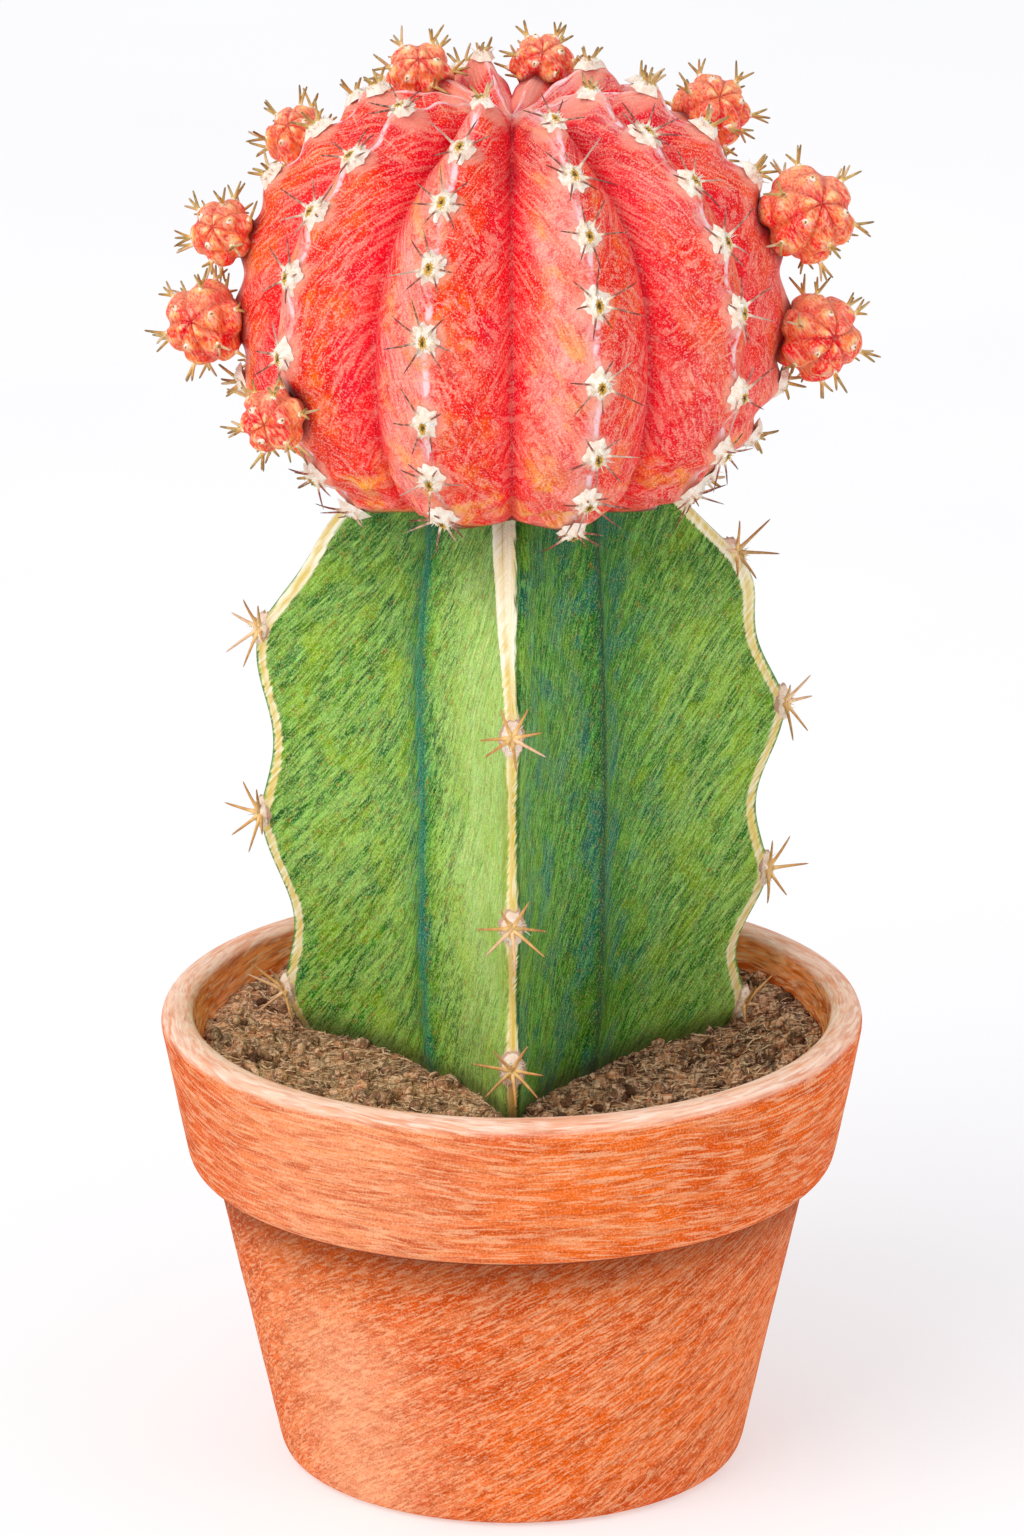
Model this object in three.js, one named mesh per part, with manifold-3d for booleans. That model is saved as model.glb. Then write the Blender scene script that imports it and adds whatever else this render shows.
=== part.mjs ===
// A potted moon cactus: a red, chlorophyll-free globe cactus (the scion) grafted on a green
// three-winged climbing cactus (the rootstock), standing in soil in a small terracotta pot.
//
// Millimetres, +Z up. The origin is the centre of the pot's base, on the ground. The view that
// the sizes were read from is from -Y, so azimuth -90 degrees is the front and +X is its right.

import * as THREE from 'three';
import { ParametricGeometry } from 'three/addons/geometries/ParametricGeometry.js';
import { mergeVertices } from 'three/addons/utils/BufferGeometryUtils.js';
import Module from 'manifold-3d';

const wasm = await Module();
wasm.setup();

// ---- Driving dimensions ----

const GAP = 0.3; // clearance kept between neighbouring pieces
const FINEST = 0.01; // edges shorter than this are closed up after joining

// The pot: a plain 7 cm terracotta pot with a heavy band round its mouth.
const POT_HEIGHT = 47.1;
const POT_RIM_RADIUS = 35;
const POT_MOUTH_RADIUS = 31.6;
const POT_BAND_HEIGHT = 16;
const POT_BAND_FOOT_RADIUS = 32.6;
const POT_NECK_RADIUS = 29.7; // the body just under the band
const POT_BASE_RADIUS = 23.4;
const POT_FLOOR_THICKNESS = 4.8;
const POT_HOLE_RADIUS = 5; // drain hole in the middle of the floor
const POT_SEGMENTS = 42;

// The soil fills the pot to a little under its rim.
const SOIL_EDGE_DEPTH = 3.7; // below the rim, at the wall
const SOIL_DISH_DEPTH = 1.9; // how much lower it has settled round the stem
const SOIL_RELIEF = 0.55; // half height of its crumbs

// The rootstock: heights are above the pot's rim.
const STOCK_FOOT = -22;
const STOCK_TOP = 54.2;
const STOCK_WINGS = [
  { name: 'front', azimuth: -90, reach: 0.865, areoles: [35.6, 16.2, 0.9] },
  { name: 'right', azimuth: 22, reach: 1.035, areoles: [44.3, 28.0, 10.6, -3.4] },
  { name: 'left', azimuth: 158, reach: 0.99, areoles: [36.0, 16.6, -1.9] },
];
const STOCK_REACH_HEIGHTS = [-22, -18, -12, -5, 8, 20, 30, 36, 40.5, 45, 50, 54.2];
const STOCK_REACH_RADII = [6, 12, 19, 23.6, 26.2, 27.6, 28.2, 27.2, 25.5, 22.5, 18.3, 14.6];
const STOCK_VALLEY_HEIGHTS = [-22, -18, -12, -5, 20, 40, 54.2];
const STOCK_VALLEY_RADII = [4.5, 6.5, 8.6, 10, 11, 10.8, 9.6];
const STOCK_DIP = 2.1; // how far the wavy margin draws in between two areoles
const STOCK_MARGIN_WIDTH = 1.5; // the blunt horny edge of a wing
const STOCK_CUT_WIDTH = 3.2; // the bevelled, healed cut at the graft
const STOCK_RINGS = 23;

// The scion: a flattened globe with ten ribs.
const SCION_RIBS = 10;
const SCION_RADIUS = 26.8; // at the crest of a rib
const SCION_CROWN = 23.3; // from the widest level up to the top of the ribs
const SCION_BELLY = 21.2; // from the widest level down, before the flat cut
const SCION_EQUATOR = 71.5; // height of the widest level above the pot's rim
const SCION_CUT = 54.5; // height of the flat cut above the pot's rim
const SCION_ROUNDNESS = 0.87; // exponent of the profile, 1 is an ellipse
const SCION_GROOVE = 0.155; // depth of a valley as a share of the radius
const SCION_DIMPLE = 3.4; // depth of the hollow at the growing point
const SCION_ROWS = 16;

const SPINE_SIDES = 3;

// Every offset sits on an areole of a rib: azimuth of the rib and polar angle on it, in degrees
// from the top, its diameter, how its axis leans up (+) or down (-) from the surface and turns
// sideways, and how far its centre stands out, as a share of its diameter.
const OFFSETS = [
  { name: 'offset_left_upper', rib: 180, polar: 74.5, size: 6.3, lean: 6, turn: 14, lift: 0.36 },
  { name: 'offset_left_middle', rib: 180, polar: 91, size: 8.0, lean: -4, turn: 14, lift: 0.38 },
  { name: 'offset_left_lower', rib: -144, polar: 101, size: 6.3, lean: -14, turn: 0, lift: 0.34 },
  { name: 'offset_left_shoulder', rib: 144, polar: 62, size: 6.4, lean: 4, turn: 0, lift: 0.36 },
  { name: 'offset_crown_left', rib: 144, polar: 21, size: 6.6, lean: 0, turn: 0, lift: 0.02 },
  { name: 'offset_crown_right', rib: 72, polar: 18, size: 6.0, lean: 0, turn: 0, lift: 0.04 },
  { name: 'offset_right_shoulder', rib: 36, polar: 54, size: 7.3, lean: 4, turn: 0, lift: 0.34 },
  { name: 'offset_right_upper', rib: 0, polar: 72, size: 9.2, lean: 12, turn: -12, lift: 0.37 },
  { name: 'offset_right_lower', rib: 0, polar: 93, size: 8.4, lean: -10, turn: -10, lift: 0.37 },
  { name: 'offset_back_left', rib: 108, polar: 84, size: 8.0, lean: 4, turn: 0, lift: 0.36 },
  { name: 'offset_back_right', rib: 72, polar: 106, size: 6.6, lean: -8, turn: 0, lift: 0.34 },
  { name: 'offset_back_low', rib: 144, polar: 108, size: 7.0, lean: -8, turn: 0, lift: 0.34 },
];

// ---- Shared helpers ----

const radians = THREE.MathUtils.degToRad;
const clamp = THREE.MathUtils.clamp;
const smoothstep = THREE.MathUtils.smoothstep;

// A repeatable stream of numbers from 0 to 1.
function makeRandom(seed) {
  let state = seed;
  return () => {
    state = (state * 1664525 + 1013904223) % 4294967296;
    return state / 4294967296;
  };
}

// Reads a smooth curve through pairs of heights and values.
function makeCurve(heights, values) {
  const curve = new THREE.CubicInterpolant(
    new Float32Array(heights), new Float32Array(values), 1,
  );
  const last = heights.length - 1;
  return (height) => curve.evaluate(clamp(height, heights[0], heights[last] - 1e-4))[0];
}

// Turns a closed geometry into a solid that can be joined and cut.
function toSolid(geometry) {
  const bare = geometry.clone();
  bare.deleteAttribute('normal');
  bare.deleteAttribute('uv');
  const merged = mergeVertices(bare, 1e-4);
  const corners = merged.index.array;
  const kept = [];
  for (let i = 0; i < corners.length; i += 3) {
    const [a, b, c] = [corners[i], corners[i + 1], corners[i + 2]];
    if (a !== b && b !== c && c !== a) kept.push(a, b, c);
  }
  return new wasm.Manifold(new wasm.Mesh({
    numProp: 3,
    vertProperties: new Float32Array(merged.attributes.position.array),
    triVerts: new Uint32Array(kept),
  }));
}

// Draws together the ends of every edge shorter than a limit, where the skin stays closed: the
// two ends must have exactly two neighbours in common.
function dropShortEdges(positions, corners, limit) {
  const at = (i) => new THREE.Vector3().fromArray(positions, 3 * i);
  let faces = [];
  for (let i = 0; i < corners.length; i += 3) faces.push([...corners.slice(i, i + 3)]);
  const short = [];
  for (const [a, b, c] of faces) {
    for (const [from, to] of [[a, b], [b, c], [c, a]]) {
      if (from < to && at(from).distanceTo(at(to)) < limit) short.push([from, to]);
    }
  }
  for (const [kept, dropped] of short) {
    const near = faces.filter((face) => face.includes(kept));
    const far = faces.filter((face) => face.includes(dropped));
    const reached = new Set(near.flat());
    const shared = new Set(far.flat().filter((i) => reached.has(i)));
    if (shared.size !== 4) continue;
    for (const face of far) face[face.indexOf(dropped)] = kept;
    faces = faces.filter((face) => new Set(face).size === 3);
  }
  return faces.flat();
}

// Turns a solid back into a geometry, without the tiniest edges that joining leaves.
function toGeometry(solid) {
  const mesh = solid.getMesh();
  const corners = dropShortEdges(mesh.vertProperties, mesh.triVerts, FINEST);
  const geometry = new THREE.BufferGeometry();
  geometry.setAttribute('position', new THREE.BufferAttribute(mesh.vertProperties, 3));
  geometry.setIndex(corners);
  geometry.computeVertexNormals();
  return geometry;
}

// Wraps a closed skin round the Z axis. The point of each column and row comes from pointAt;
// the first and the last row must each be a single point on the axis.
function wrapSkin(columns, rows, pointAt) {
  const place = (u, v, target) => {
    target.copy(pointAt(Math.round(u * columns) % columns, Math.round(v * rows)));
  };
  return new ParametricGeometry(place, columns, rows);
}

// A slim three-sided needle whose root is sunk below its foot.
function needle(foot, direction, length, radius, sink) {
  const cone = new THREE.ConeGeometry(radius, length + sink, SPINE_SIDES);
  cone.translate(0, (length + sink) / 2 - sink, 0);
  const turn = new THREE.Quaternion();
  turn.setFromUnitVectors(new THREE.Vector3(0, 1, 0), direction);
  cone.applyQuaternion(turn);
  cone.translate(foot.x, foot.y, foot.z);
  return cone;
}

// A low felt cushion, half sunk: along and across are its half lengths on the surface.
function cushion(foot, normal, upward, along, across, height) {
  const dome = new THREE.SphereGeometry(1, 5, 3);
  dome.rotateX(Math.PI / 2);
  dome.rotateZ(0.23);
  dome.scale(across, along, height);
  const sideways = new THREE.Vector3().crossVectors(upward, normal).normalize();
  const level = new THREE.Vector3().crossVectors(normal, sideways);
  dome.applyMatrix4(new THREE.Matrix4().makeBasis(sideways, level, normal));
  dome.translate(foot.x, foot.y, foot.z);
  return dome;
}

// The direction that leans away from a normal by an angle, turned round it from upward.
function splay(normal, upward, lean, turn) {
  const sideways = new THREE.Vector3().crossVectors(upward, normal).normalize();
  const level = new THREE.Vector3().crossVectors(normal, sideways);
  return new THREE.Vector3()
    .addScaledVector(normal, Math.cos(lean))
    .addScaledVector(level, Math.sin(lean) * Math.cos(turn))
    .addScaledVector(sideways, Math.sin(lean) * Math.sin(turn));
}

function aroundAxis(azimuth, radius, height) {
  return new THREE.Vector3(
    radius * Math.cos(radians(azimuth)),
    radius * Math.sin(radians(azimuth)),
    height,
  );
}

// ---- Pot ----

// Radius of the pot's inner wall at a height above its base.
function potInnerRadius(height) {
  const low = POT_FLOOR_THICKNESS + 1.8;
  const high = POT_HEIGHT - 1.3;
  const share = clamp((height - low) / (high - low), 0, 1);
  return THREE.MathUtils.lerp(20.3, POT_MOUTH_RADIUS, share);
}

function makePot() {
  const top = POT_HEIGHT;
  const bandFoot = POT_HEIGHT - POT_BAND_HEIGHT;
  const floor = POT_FLOOR_THICKNESS;
  const section = [
    [POT_HOLE_RADIUS, 0],
    [POT_BASE_RADIUS - 1.8, 0],
    [POT_BASE_RADIUS - 0.5, 0.5],
    [POT_BASE_RADIUS, 1.7],
    [POT_NECK_RADIUS, bandFoot - 0.6],
    [POT_NECK_RADIUS + 0.5, bandFoot],
    [POT_BAND_FOOT_RADIUS - 1.4, bandFoot],
    [POT_BAND_FOOT_RADIUS - 0.35, bandFoot + 0.7],
    [POT_BAND_FOOT_RADIUS, bandFoot + 2.1],
    [POT_RIM_RADIUS, top - 1.4],
    [POT_RIM_RADIUS - 0.35, top - 0.4],
    [POT_RIM_RADIUS - 1.2, top],
    [POT_MOUTH_RADIUS + 1, top],
    [POT_MOUTH_RADIUS + 0.25, top - 0.4],
    [POT_MOUTH_RADIUS, top - 1.3],
    [20.3, floor + 1.8],
    [19.3, floor + 0.5],
    [17.8, floor],
    [POT_HOLE_RADIUS, floor],
    [POT_HOLE_RADIUS, 0],
  ];
  const profile = section.map(([radius, height]) => new THREE.Vector2(radius, height));
  const pot = new THREE.LatheGeometry(profile, POT_SEGMENTS);
  pot.rotateX(Math.PI / 2);
  return toSolid(pot);
}

// ---- Rootstock ----

const wingReach = makeCurve(STOCK_REACH_HEIGHTS, STOCK_REACH_RADII);
const valleyReach = makeCurve(STOCK_VALLEY_HEIGHTS, STOCK_VALLEY_RADII);

// How far a wing's margin draws in at a height: nothing at its areoles, most between them.
function marginDip(wing, height) {
  const marks = [wing.areoles[0] + 20, ...wing.areoles, wing.areoles.at(-1) - 17];
  for (let i = 0; i + 1 < marks.length; i += 1) {
    if (height <= marks[i] && height > marks[i + 1]) {
      const share = (marks[i] - height) / (marks[i] - marks[i + 1]);
      return STOCK_DIP * 0.5 * (1 - Math.cos(2 * Math.PI * (share - 0.06)));
    }
  }
  return 0;
}

function wingRadius(wing, height) {
  const strength = smoothstep(height, -14, -4) * (1 - 0.75 * smoothstep(height, 38, 50));
  const round = 1 + (wing.reach - 1) * smoothstep(height, -20, -5);
  return wingReach(height) * round - marginDip(wing, height) * strength;
}

function marginWidth(height) {
  return THREE.MathUtils.lerp(STOCK_MARGIN_WIDTH, STOCK_CUT_WIDTH, smoothstep(height, 34, 54));
}

// One ring of the rootstock's section. Each half flank runs from the middle of the margin,
// over its edge, along a hollow curve to the floor of the valley.
const FLANK_STEPS = 5;
const STOCK_COLUMNS = STOCK_WINGS.length * 2 * (FLANK_STEPS + 1);

function stockPoint(column, height, grow) {
  const perWing = 2 * (FLANK_STEPS + 1);
  const index = Math.floor(column / perWing);
  const step = column % perWing;
  const here = STOCK_WINGS[index];
  const next = STOCK_WINGS[(index + 1) % STOCK_WINGS.length];
  const turn = (next.azimuth - here.azimuth + 360) % 360;
  const onNext = step > FLANK_STEPS + 1;
  const wing = onNext ? next : here;
  const fromCrest = onNext ? perWing - step : step;
  const half = radians(turn / 2);
  const crest = wingRadius(wing, height) + grow;
  const valley = valleyReach(height) + 1.3 * grow;
  const edge = new THREE.Vector2(crest - 0.35, marginWidth(height) / 2 + grow);
  const floor = new THREE.Vector2(valley * Math.cos(half), valley * Math.sin(half));
  const bend = new THREE.Vector2(valley * 0.86, 0.36 * valley + grow);
  let spot = new THREE.Vector2(crest, 0);
  if (fromCrest > 0) {
    const flank = new THREE.QuadraticBezierCurve(edge, bend, floor);
    spot = flank.getPoint((fromCrest - 1) / FLANK_STEPS);
  }
  const side = onNext ? -spot.y : spot.y;
  const azimuth = radians(wing.azimuth);
  return new THREE.Vector3(
    spot.x * Math.cos(azimuth) - side * Math.sin(azimuth),
    spot.x * Math.sin(azimuth) + side * Math.cos(azimuth),
    height,
  );
}

// The rootstock's body, all over larger by grow.
function makeStockBody(grow) {
  const rows = STOCK_RINGS + 2;
  const bottom = STOCK_FOOT - grow;
  const top = STOCK_TOP + grow;
  const skin = wrapSkin(STOCK_COLUMNS, rows, (column, row) => {
    if (row === 0) return new THREE.Vector3(0, 0, bottom);
    if (row === rows) return new THREE.Vector3(0, 0, top);
    const share = (row - 1) / (rows - 2);
    const height = THREE.MathUtils.lerp(STOCK_FOOT, STOCK_TOP, share);
    const spot = stockPoint(column, height, grow);
    if (row === 1) spot.z = bottom;
    if (row === rows - 1) spot.z = top;
    return spot;
  });
  skin.translate(0, 0, POT_HEIGHT);
  return toSolid(skin);
}

function makeStock() {
  const random = makeRandom(7);
  const lowestTip = POT_HEIGHT - SOIL_EDGE_DEPTH - SOIL_DISH_DEPTH + 1.2;
  let stock = makeStockBody(0);
  for (const wing of STOCK_WINGS) {
    const outward = aroundAxis(wing.azimuth, 1, 0);
    for (const height of wing.areoles) {
      const slope = wingRadius(wing, height + 1) - wingRadius(wing, height - 1);
      const upward = outward.clone().multiplyScalar(slope / 2);
      upward.z = 1;
      upward.normalize();
      const sideways = new THREE.Vector3().crossVectors(upward, outward);
      const normal = new THREE.Vector3().crossVectors(sideways, upward).normalize();
      const foot = aroundAxis(wing.azimuth, wingRadius(wing, height) - 0.15, height + POT_HEIGHT);
      stock = stock.add(toSolid(cushion(foot, normal, upward, 1.45, 1.05, 0.75)));
      const count = 5;
      for (let i = 0; i < count; i += 1) {
        const turn = (i + 0.5 * random()) * (2 * Math.PI / count);
        const lean = radians(48 + 18 * random());
        const length = 2.8 + 1.1 * random();
        const direction = splay(normal, upward, lean, turn);
        if (foot.z + direction.z * length < lowestTip) continue;
        stock = stock.add(toSolid(needle(foot, direction, length + 0.4, 0.26, 0.7)));
      }
    }
  }
  return stock;
}

// ---- Soil ----

// Height of the crumbly surface below or above its level, the same for every run.
function soilRelief(x, y) {
  const broad = Math.sin(0.42 * x + 1.3) * Math.cos(0.37 * y - 0.4);
  const lumps = Math.sin(1.13 * x + 0.7 * y) * Math.sin(0.9 * y - 0.55 * x + 2.1);
  const grains = Math.sin(2.7 * x - 1.9 * y + 0.3) * Math.sin(2.3 * y + 1.6 * x);
  return SOIL_RELIEF * (0.35 * broad + 0.4 * lumps + 0.25 * grains);
}

function makeSoil() {
  const floor = POT_FLOOR_THICKNESS + GAP;
  const edge = POT_HEIGHT - SOIL_EDGE_DEPTH;
  const edgeRadius = potInnerRadius(edge) - GAP - 0.05;
  const sides = [
    [17.5, floor],
    [19.0, floor + 0.45],
    [19.9, floor + 1.7],
    [edgeRadius - 0.2, edge - 0.7],
  ];
  const surface = [29.6, 26.4, 22.6, 18.6, 14, 8];
  const rows = sides.length + surface.length + 1;
  const skin = wrapSkin(POT_SEGMENTS, rows, (column, row) => {
    const azimuth = 360 * column / POT_SEGMENTS;
    if (row === 0) return new THREE.Vector3(0, 0, floor);
    if (row <= sides.length) return aroundAxis(azimuth, ...sides[row - 1]);
    if (row === rows) return new THREE.Vector3(0, 0, edge - SOIL_DISH_DEPTH);
    const radius = surface[row - sides.length - 1];
    const spot = aroundAxis(azimuth, radius, 0);
    const dish = SOIL_DISH_DEPTH * (1 - smoothstep(radius, 21, 31));
    spot.z = edge - dish + soilRelief(spot.x, spot.y) * smoothstep(radius, 12, 29);
    return spot;
  });
  return toSolid(skin).subtract(makeStockBody(GAP));
}

// ---- Scion ----

const RIB_ANGLE = 360 / SCION_RIBS;
const RIB_STEPS = 6; // columns from one crest to the next
const SCION_COLUMNS = SCION_RIBS * RIB_STEPS;
const SCION_FIRST_RIB = -72; // a valley faces the front, between the ribs at -108 and -72

// 1 on a crest and 0 in a valley.
function ribHeight(azimuth) {
  const from = THREE.MathUtils.euclideanModulo(azimuth - SCION_FIRST_RIB, RIB_ANGLE);
  const away = Math.min(from, RIB_ANGLE - from) / (RIB_ANGLE / 2);
  return 1 - away ** 1.4;
}

// The share by which a valley is drawn in: nothing at the apex, less at the flat cut.
function grooveDepth(polar) {
  const opening = clamp(polar / 28, 0, 1) ** 0.7;
  return SCION_GROOVE * opening * (1 - 0.5 * smoothstep(polar, 95, 145));
}

// Half width and half height of the globe's profile at a polar angle in degrees.
function profileAt(polar) {
  const sine = Math.max(Math.sin(radians(polar)), 0);
  const cosine = Math.cos(radians(polar));
  const half = cosine > 0 ? SCION_CROWN : SCION_BELLY;
  return [
    SCION_RADIUS * sine ** SCION_ROUNDNESS,
    Math.sign(cosine) * half * Math.abs(cosine) ** SCION_ROUNDNESS,
  ];
}

// A point of the scion's skin, measured from the centre of its widest level.
function scionPoint(azimuth, polar, grow) {
  const [radius, height] = profileAt(polar);
  const scale = 1 - (1 - ribHeight(azimuth)) * grooveDepth(polar);
  const length = Math.hypot(radius, height);
  const reach = scale + grow / length;
  const spot = aroundAxis(azimuth, radius * reach, height * reach);
  spot.z -= SCION_DIMPLE * Math.exp(-((radius / 5.5) ** 2));
  return spot;
}

// The polar angle at which a column of the skin meets the flat cut.
function cutPolar(azimuth) {
  const depth = SCION_EQUATOR - SCION_CUT;
  let low = 95;
  let high = 175;
  for (let i = 0; i < 30; i += 1) {
    const middle = (low + high) / 2;
    if (scionPoint(azimuth, middle, 0).z > -depth) low = middle;
    else high = middle;
  }
  return low;
}

function makeScionBody(grow) {
  const depth = SCION_EQUATOR - SCION_CUT + grow;
  const rows = SCION_ROWS + 1;
  return toSolid(wrapSkin(SCION_COLUMNS, rows, (column, row) => {
    const azimuth = SCION_FIRST_RIB + 360 * column / SCION_COLUMNS;
    if (row === 0) return new THREE.Vector3(0, 0, -depth);
    if (row === rows) return scionPoint(azimuth, 0, grow);
    const share = 1 - (row - 1) / (rows - 1);
    const spot = scionPoint(azimuth, share * cutPolar(azimuth), grow);
    if (row === 1) spot.z = -depth;
    return spot;
  }));
}

// Which way the skin faces on the crest of a rib, and which way leads to the apex there.
function crestFrame(azimuth, polar) {
  const foot = scionPoint(azimuth, polar, 0);
  const above = scionPoint(azimuth, polar - 1, 0);
  const below = scionPoint(azimuth, polar + 1, 0);
  const upward = above.sub(below).normalize();
  const sideways = aroundAxis(azimuth + 90, 1, 0);
  const normal = new THREE.Vector3().crossVectors(sideways, upward).normalize();
  return { foot, normal, upward, sideways };
}

// Polar angles of a rib's areoles. Most neighbouring ribs are staggered by half a step.
function areolePolars(ribNumber) {
  const first = ribNumber % 2 === 0 || ribNumber === 7 ? 24.5 : 16;
  const polars = [];
  for (let polar = first; polar < 141; polar += 16.3) polars.push(polar);
  return polars;
}

// Where an offset stands: its foot on a crest, its axis and its centre.
function offsetFrame(offset) {
  const { foot, normal, upward, sideways } = crestFrame(offset.rib, offset.polar);
  const axis = normal.clone()
    .addScaledVector(upward, Math.tan(radians(offset.lean)))
    .addScaledVector(sideways, Math.tan(radians(offset.turn)))
    .normalize();
  const centre = foot.clone().addScaledVector(axis, offset.lift * offset.size);
  return { foot, axis, centre };
}

const offsetSeats = OFFSETS.map(offsetFrame);

// Whether a point keeps a distance from every offset, but the one to skip.
function clearOfOffsets(point, distance, skip) {
  return OFFSETS.every((offset, i) => (
    i === skip || point.distanceTo(offsetSeats[i].centre) > offset.size / 2 + distance
  ));
}

function makeScion() {
  const random = makeRandom(41);
  let scion = makeScionBody(0);
  for (let rib = 0; rib < SCION_RIBS; rib += 1) {
    const azimuth = SCION_FIRST_RIB + rib * RIB_ANGLE;
    for (const polar of areolePolars(rib)) {
      const { foot, normal, upward } = crestFrame(azimuth, polar);
      const spin = random();
      if (!clearOfOffsets(foot, 1.6, -1)) continue;
      const size = polar < 30 ? 0.85 : 1;
      scion = scion.add(toSolid(cushion(foot, normal, upward, 1.35 * size, 1.15 * size, 0.8)));
      const count = 3;
      for (let i = 0; i < count; i += 1) {
        const turn = (i + 0.35 * random() + spin) * (2 * Math.PI / count);
        const lean = radians(46 + 16 * random());
        const length = 2.3 + 0.9 * random();
        const direction = splay(normal, upward, lean, turn);
        const tip = foot.clone().addScaledVector(direction, length);
        const lowest = SCION_CUT - SCION_EQUATOR + 0.5;
        if (!clearOfOffsets(tip, 2.4, -1) || tip.z < lowest) continue;
        scion = scion.add(toSolid(needle(foot, direction, length, 0.24, 0.7)));
      }
    }
  }
  return scion;
}

// ---- Offsets ----

// A small ribbed ball round its own +Z axis, with a spine or two on each tubercle.
const OFFSET_RIBS = 6;
const OFFSET_COLUMNS = OFFSET_RIBS * 2;
const OFFSET_ROWS = 7;

function offsetPoint(azimuth, polar, radius) {
  const crest = 0.5 + 0.5 * Math.cos(radians(azimuth) * OFFSET_RIBS);
  const groove = 0.17 * (1 - crest) * Math.sin(radians(polar)) ** 0.6;
  const dimple = 0.1 * Math.exp(-((polar / 22) ** 2));
  const reach = radius * (1 - groove - dimple);
  const across = reach * Math.sin(radians(polar));
  return aroundAxis(azimuth, across, reach * Math.cos(radians(polar)));
}

function makeOffset(number, cutter) {
  const { size } = OFFSETS[number];
  const { axis, centre } = offsetSeats[number];
  const radius = size / 2;
  const random = makeRandom(100 + number);
  const turn = new THREE.Quaternion();
  turn.setFromUnitVectors(new THREE.Vector3(0, 0, 1), axis);
  const placed = new THREE.Matrix4().compose(centre, turn, new THREE.Vector3(1, 1, 1));
  let ball = toSolid(wrapSkin(OFFSET_COLUMNS, OFFSET_ROWS, (column, row) => (
    offsetPoint(360 * column / OFFSET_COLUMNS, 180 * (1 - row / OFFSET_ROWS), radius)
  )));
  for (let rib = 0; rib < OFFSET_RIBS; rib += 1) {
    const azimuth = 360 * rib / OFFSET_RIBS;
    for (const polar of rib % 2 === 0 ? [30, 78] : [54, 100]) {
      const foot = offsetPoint(azimuth, polar, radius);
      const direction = foot.clone().normalize();
      direction.z += 0.35 * (random() - 0.3);
      direction.applyAxisAngle(new THREE.Vector3(0, 0, 1), 0.5 * (random() - 0.5));
      direction.normalize();
      const length = 1.7 + 0.5 * random();
      const tip = foot.clone().addScaledVector(direction, length).applyMatrix4(placed);
      const outside = tip.length() > scionSkinDistance(tip) + 1.2;
      if (!outside || !clearOfOffsets(tip, 0.5, number)) continue;
      ball = ball.add(toSolid(needle(foot, direction, length, 0.2, 0.5)));
    }
  }
  const inPlace = toGeometry(ball);
  inPlace.applyMatrix4(placed);
  const seated = toGeometry(toSolid(inPlace).subtract(cutter));
  seated.applyMatrix4(placed.clone().invert());
  return { geometry: seated, centre, turn };
}

// Distance from the scion's centre to its skin, in the direction of a point.
function scionSkinDistance(point) {
  const azimuth = THREE.MathUtils.radToDeg(Math.atan2(point.y, point.x));
  let low = 1;
  let high = 179;
  const level = Math.atan2(point.z, Math.hypot(point.x, point.y));
  for (let i = 0; i < 30; i += 1) {
    const middle = (low + high) / 2;
    const spot = scionPoint(azimuth, middle, 0);
    if (Math.atan2(spot.z, Math.hypot(spot.x, spot.y)) > level) low = middle;
    else high = middle;
  }
  return scionPoint(azimuth, low, 0).length();
}

// ---- Assembly ----

function material(colour, roughness) {
  return new THREE.MeshStandardMaterial({ color: colour, roughness, metalness: 0 });
}

const terracotta = material('#c0663b', 0.85);
const earth = material('#4a372b', 0.95);
const green = material('#3f7f3c', 0.55);
const red = material('#df4238', 0.5);
const orangeRed = material('#dd5a3c', 0.5);

function namedMesh(name, geometry, look) {
  const mesh = new THREE.Mesh(geometry, look);
  mesh.name = name;
  return mesh;
}

const cactus = new THREE.Group();
cactus.name = 'potted_moon_cactus';
cactus.add(namedMesh('pot', toGeometry(makePot()), terracotta));
cactus.add(namedMesh('soil', toGeometry(makeSoil()), earth));
cactus.add(namedMesh('rootstock', toGeometry(makeStock()), green));

// The scion and its offsets share a group whose origin is the centre of the widest level.
const head = new THREE.Group();
head.name = 'grafted_head';
head.position.z = POT_HEIGHT + SCION_EQUATOR;
head.add(namedMesh('scion', toGeometry(makeScion()), red));
const seatCutter = makeScionBody(GAP + 0.1);
OFFSETS.forEach((offset, number) => {
  const { geometry, centre, turn } = makeOffset(number, seatCutter);
  const mesh = namedMesh(offset.name, geometry, orangeRed.clone());
  mesh.position.copy(centre);
  mesh.quaternion.copy(turn);
  head.add(mesh);
});
cactus.add(head);

export default cactus;
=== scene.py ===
# %% [markdown]
# # A moon cactus in a terracotta pot
# A moon cactus is two plants grown as one: a red ball that has no green of its own, grafted on
# a three-winged green stem that feeds it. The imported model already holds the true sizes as
# plain solids. This lesson lays a finer skin over each solid and gives it a finish, so nothing
# here changes where a part is or how big it is.

# %% Load the fixed frame
import math

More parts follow.
